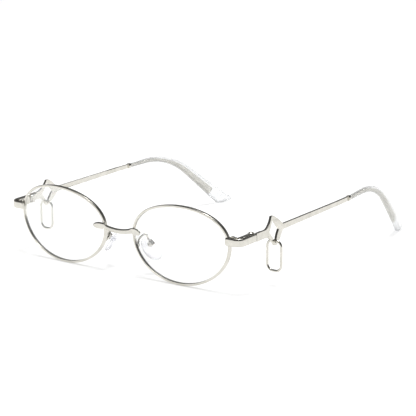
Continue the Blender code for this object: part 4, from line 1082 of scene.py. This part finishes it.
def buildScrewTree(c):
    tree, add, size = newShapeTree(
        "slottedScrews", Int=["facets"],
        Float=["shaftRadius", "shaftLength", "headRadius", "headHeight", "slotWidth", "slotDepth", "seat",
               "chamfer"])
    plus, minus, times, timesPlus = mathNodes(tree, "ADD", "SUBTRACT", "MULTIPLY", "MULTIPLY_ADD")

    def raised(shape, height):
        up = add("ShaderNodeCombineXYZ", {2: height})
        return add("GeometryNodeTransform", {"Geometry": shape, "Translation": up}).outputs[0]

    def rod(radius, depth):
        return add("GeometryNodeMeshCylinder", {"Vertices": size["facets"], "Radius": radius, "Depth": depth})

    shaft = rod(size["shaftRadius"], size["shaftLength"])
    shaftLow = minus(size["seat"], times(size["shaftLength"], 0.5))
    lower = times(size["headHeight"], c["rimShare"])
    plate = rod(size["headRadius"], lower)
    plateUp = timesPlus(lower, 0.5, size["seat"])
    crown = add("GeometryNodeMeshCone",
                {"Vertices": size["facets"], "Radius Bottom": size["headRadius"],
                 "Radius Top": times(size["headRadius"], size["chamfer"]),
                 "Depth": minus(size["headHeight"], lower)})
    # a bar longer than the head and twice as deep as the slot, its middle at the head's top
    bar = add("ShaderNodeCombineXYZ", {0: times(size["headRadius"], 3.0), 1: size["slotWidth"],
                                       2: times(size["slotDepth"], 2.0)})
    slot = add("GeometryNodeMeshCube", {"Size": bar})
    head = add("GeometryNodeMeshBoolean", {"Mesh 2": raised(plate, plateUp)},
               operation="UNION", solver="EXACT")
    tree.links.new(raised(crown, plus(size["seat"], lower)), head.inputs["Mesh 2"])
    top = plus(size["seat"], size["headHeight"])
    cut = add("GeometryNodeMeshBoolean", {"Mesh 1": head, "Mesh 2": raised(slot, top)},
              operation="DIFFERENCE", solver="EXACT")
    whole = add("GeometryNodeJoinGeometry", {0: cut})
    tree.links.new(raised(shaft, shaftLow), whole.inputs[0])
    axis = add("GeometryNodeInputNamedAttribute", {"Name": "axis"}, data_type="FLOAT_VECTOR")
    aligned = add("FunctionNodeAlignRotationToVector", {"Vector": axis}, axis="Z")
    placed = add("GeometryNodeInstanceOnPoints",
                 {"Points": size["Geometry"], "Instance": whole, "Rotation": aligned})
    return closeTree(tree, placed, size)


def screwPoints(place, axis):
    # the left screw's seat and direction, and their mirror image
    mesh = bpy.data.meshes.new("screwPoints")
    place, axis = standing @ place, standing.to_3x3() @ axis
    mesh.from_pydata([(side * place.x, place.y, place.z) for side in sideNames], [], [])
    stored = mesh.attributes.new("axis", "FLOAT_VECTOR", "POINT")
    for i, side in enumerate(sideNames):
        stored.data[i].vector = (side * axis.x, axis.y, axis.z)
    return mesh


def lockPlace(c):
    inner = rimSideX + rim["solder"]
    outer = inner + c["lockWidth"]
    inside = endpiece["bend"] - endpiece["thickness"] / 2
    frontY = endpieceBack(endpiece) - endpiece["thickness"] / 2
    past = max(0.0, outer - templeMiddle + endpiece["bend"])
    nearest = frontY + endpiece["bend"] - math.sqrt(inside**2 - past**2) + rim["solder"]
    return Vector(((inner + outer) / 2, nearest + c["lockDepth"] / 2, hingeRise))


def makeScrews(c):
    tree = buildScrewTree(c)
    leafFace = templeOuter - endpiece["thickness"] - rim["solder"]
    hingeTop = Vector((leafFace - c["pinInset"], endpiece["hingeSetback"],
                       hingeRise + 1.5 * c["knuckle"] + c["knuckleGap"]))
    lockTop = lockPlace(c) + upwards * (rim["split"] / 2 + c["lockHeight"])
    boxSide = pad["stemThickness"] / 2 + pad["play"] + c["boxWall"]
    padSide = padPlace @ Vector((-boxSide, 0, 0))
    across = padPlace.to_3x3().col[0]
    rows = (("hinge", hingeTop, upwards, "hinge_screw"), ("lock", lockTop, upwards, "rim_lock_screw"),
            ("pad", padSide, -across, "pad_screw"))
    for kind, place, axis, node in rows:
        mesh = shapeFromTree(tree, {**c, **c[kind]}, screwPoints(place, axis))
        addPiece(kind + "Screws", mesh, "metal", "front", [f"{node}_left", f"{node}_right"])


makeScrews(screw)
print("screws: hinge, lock and pad screws")
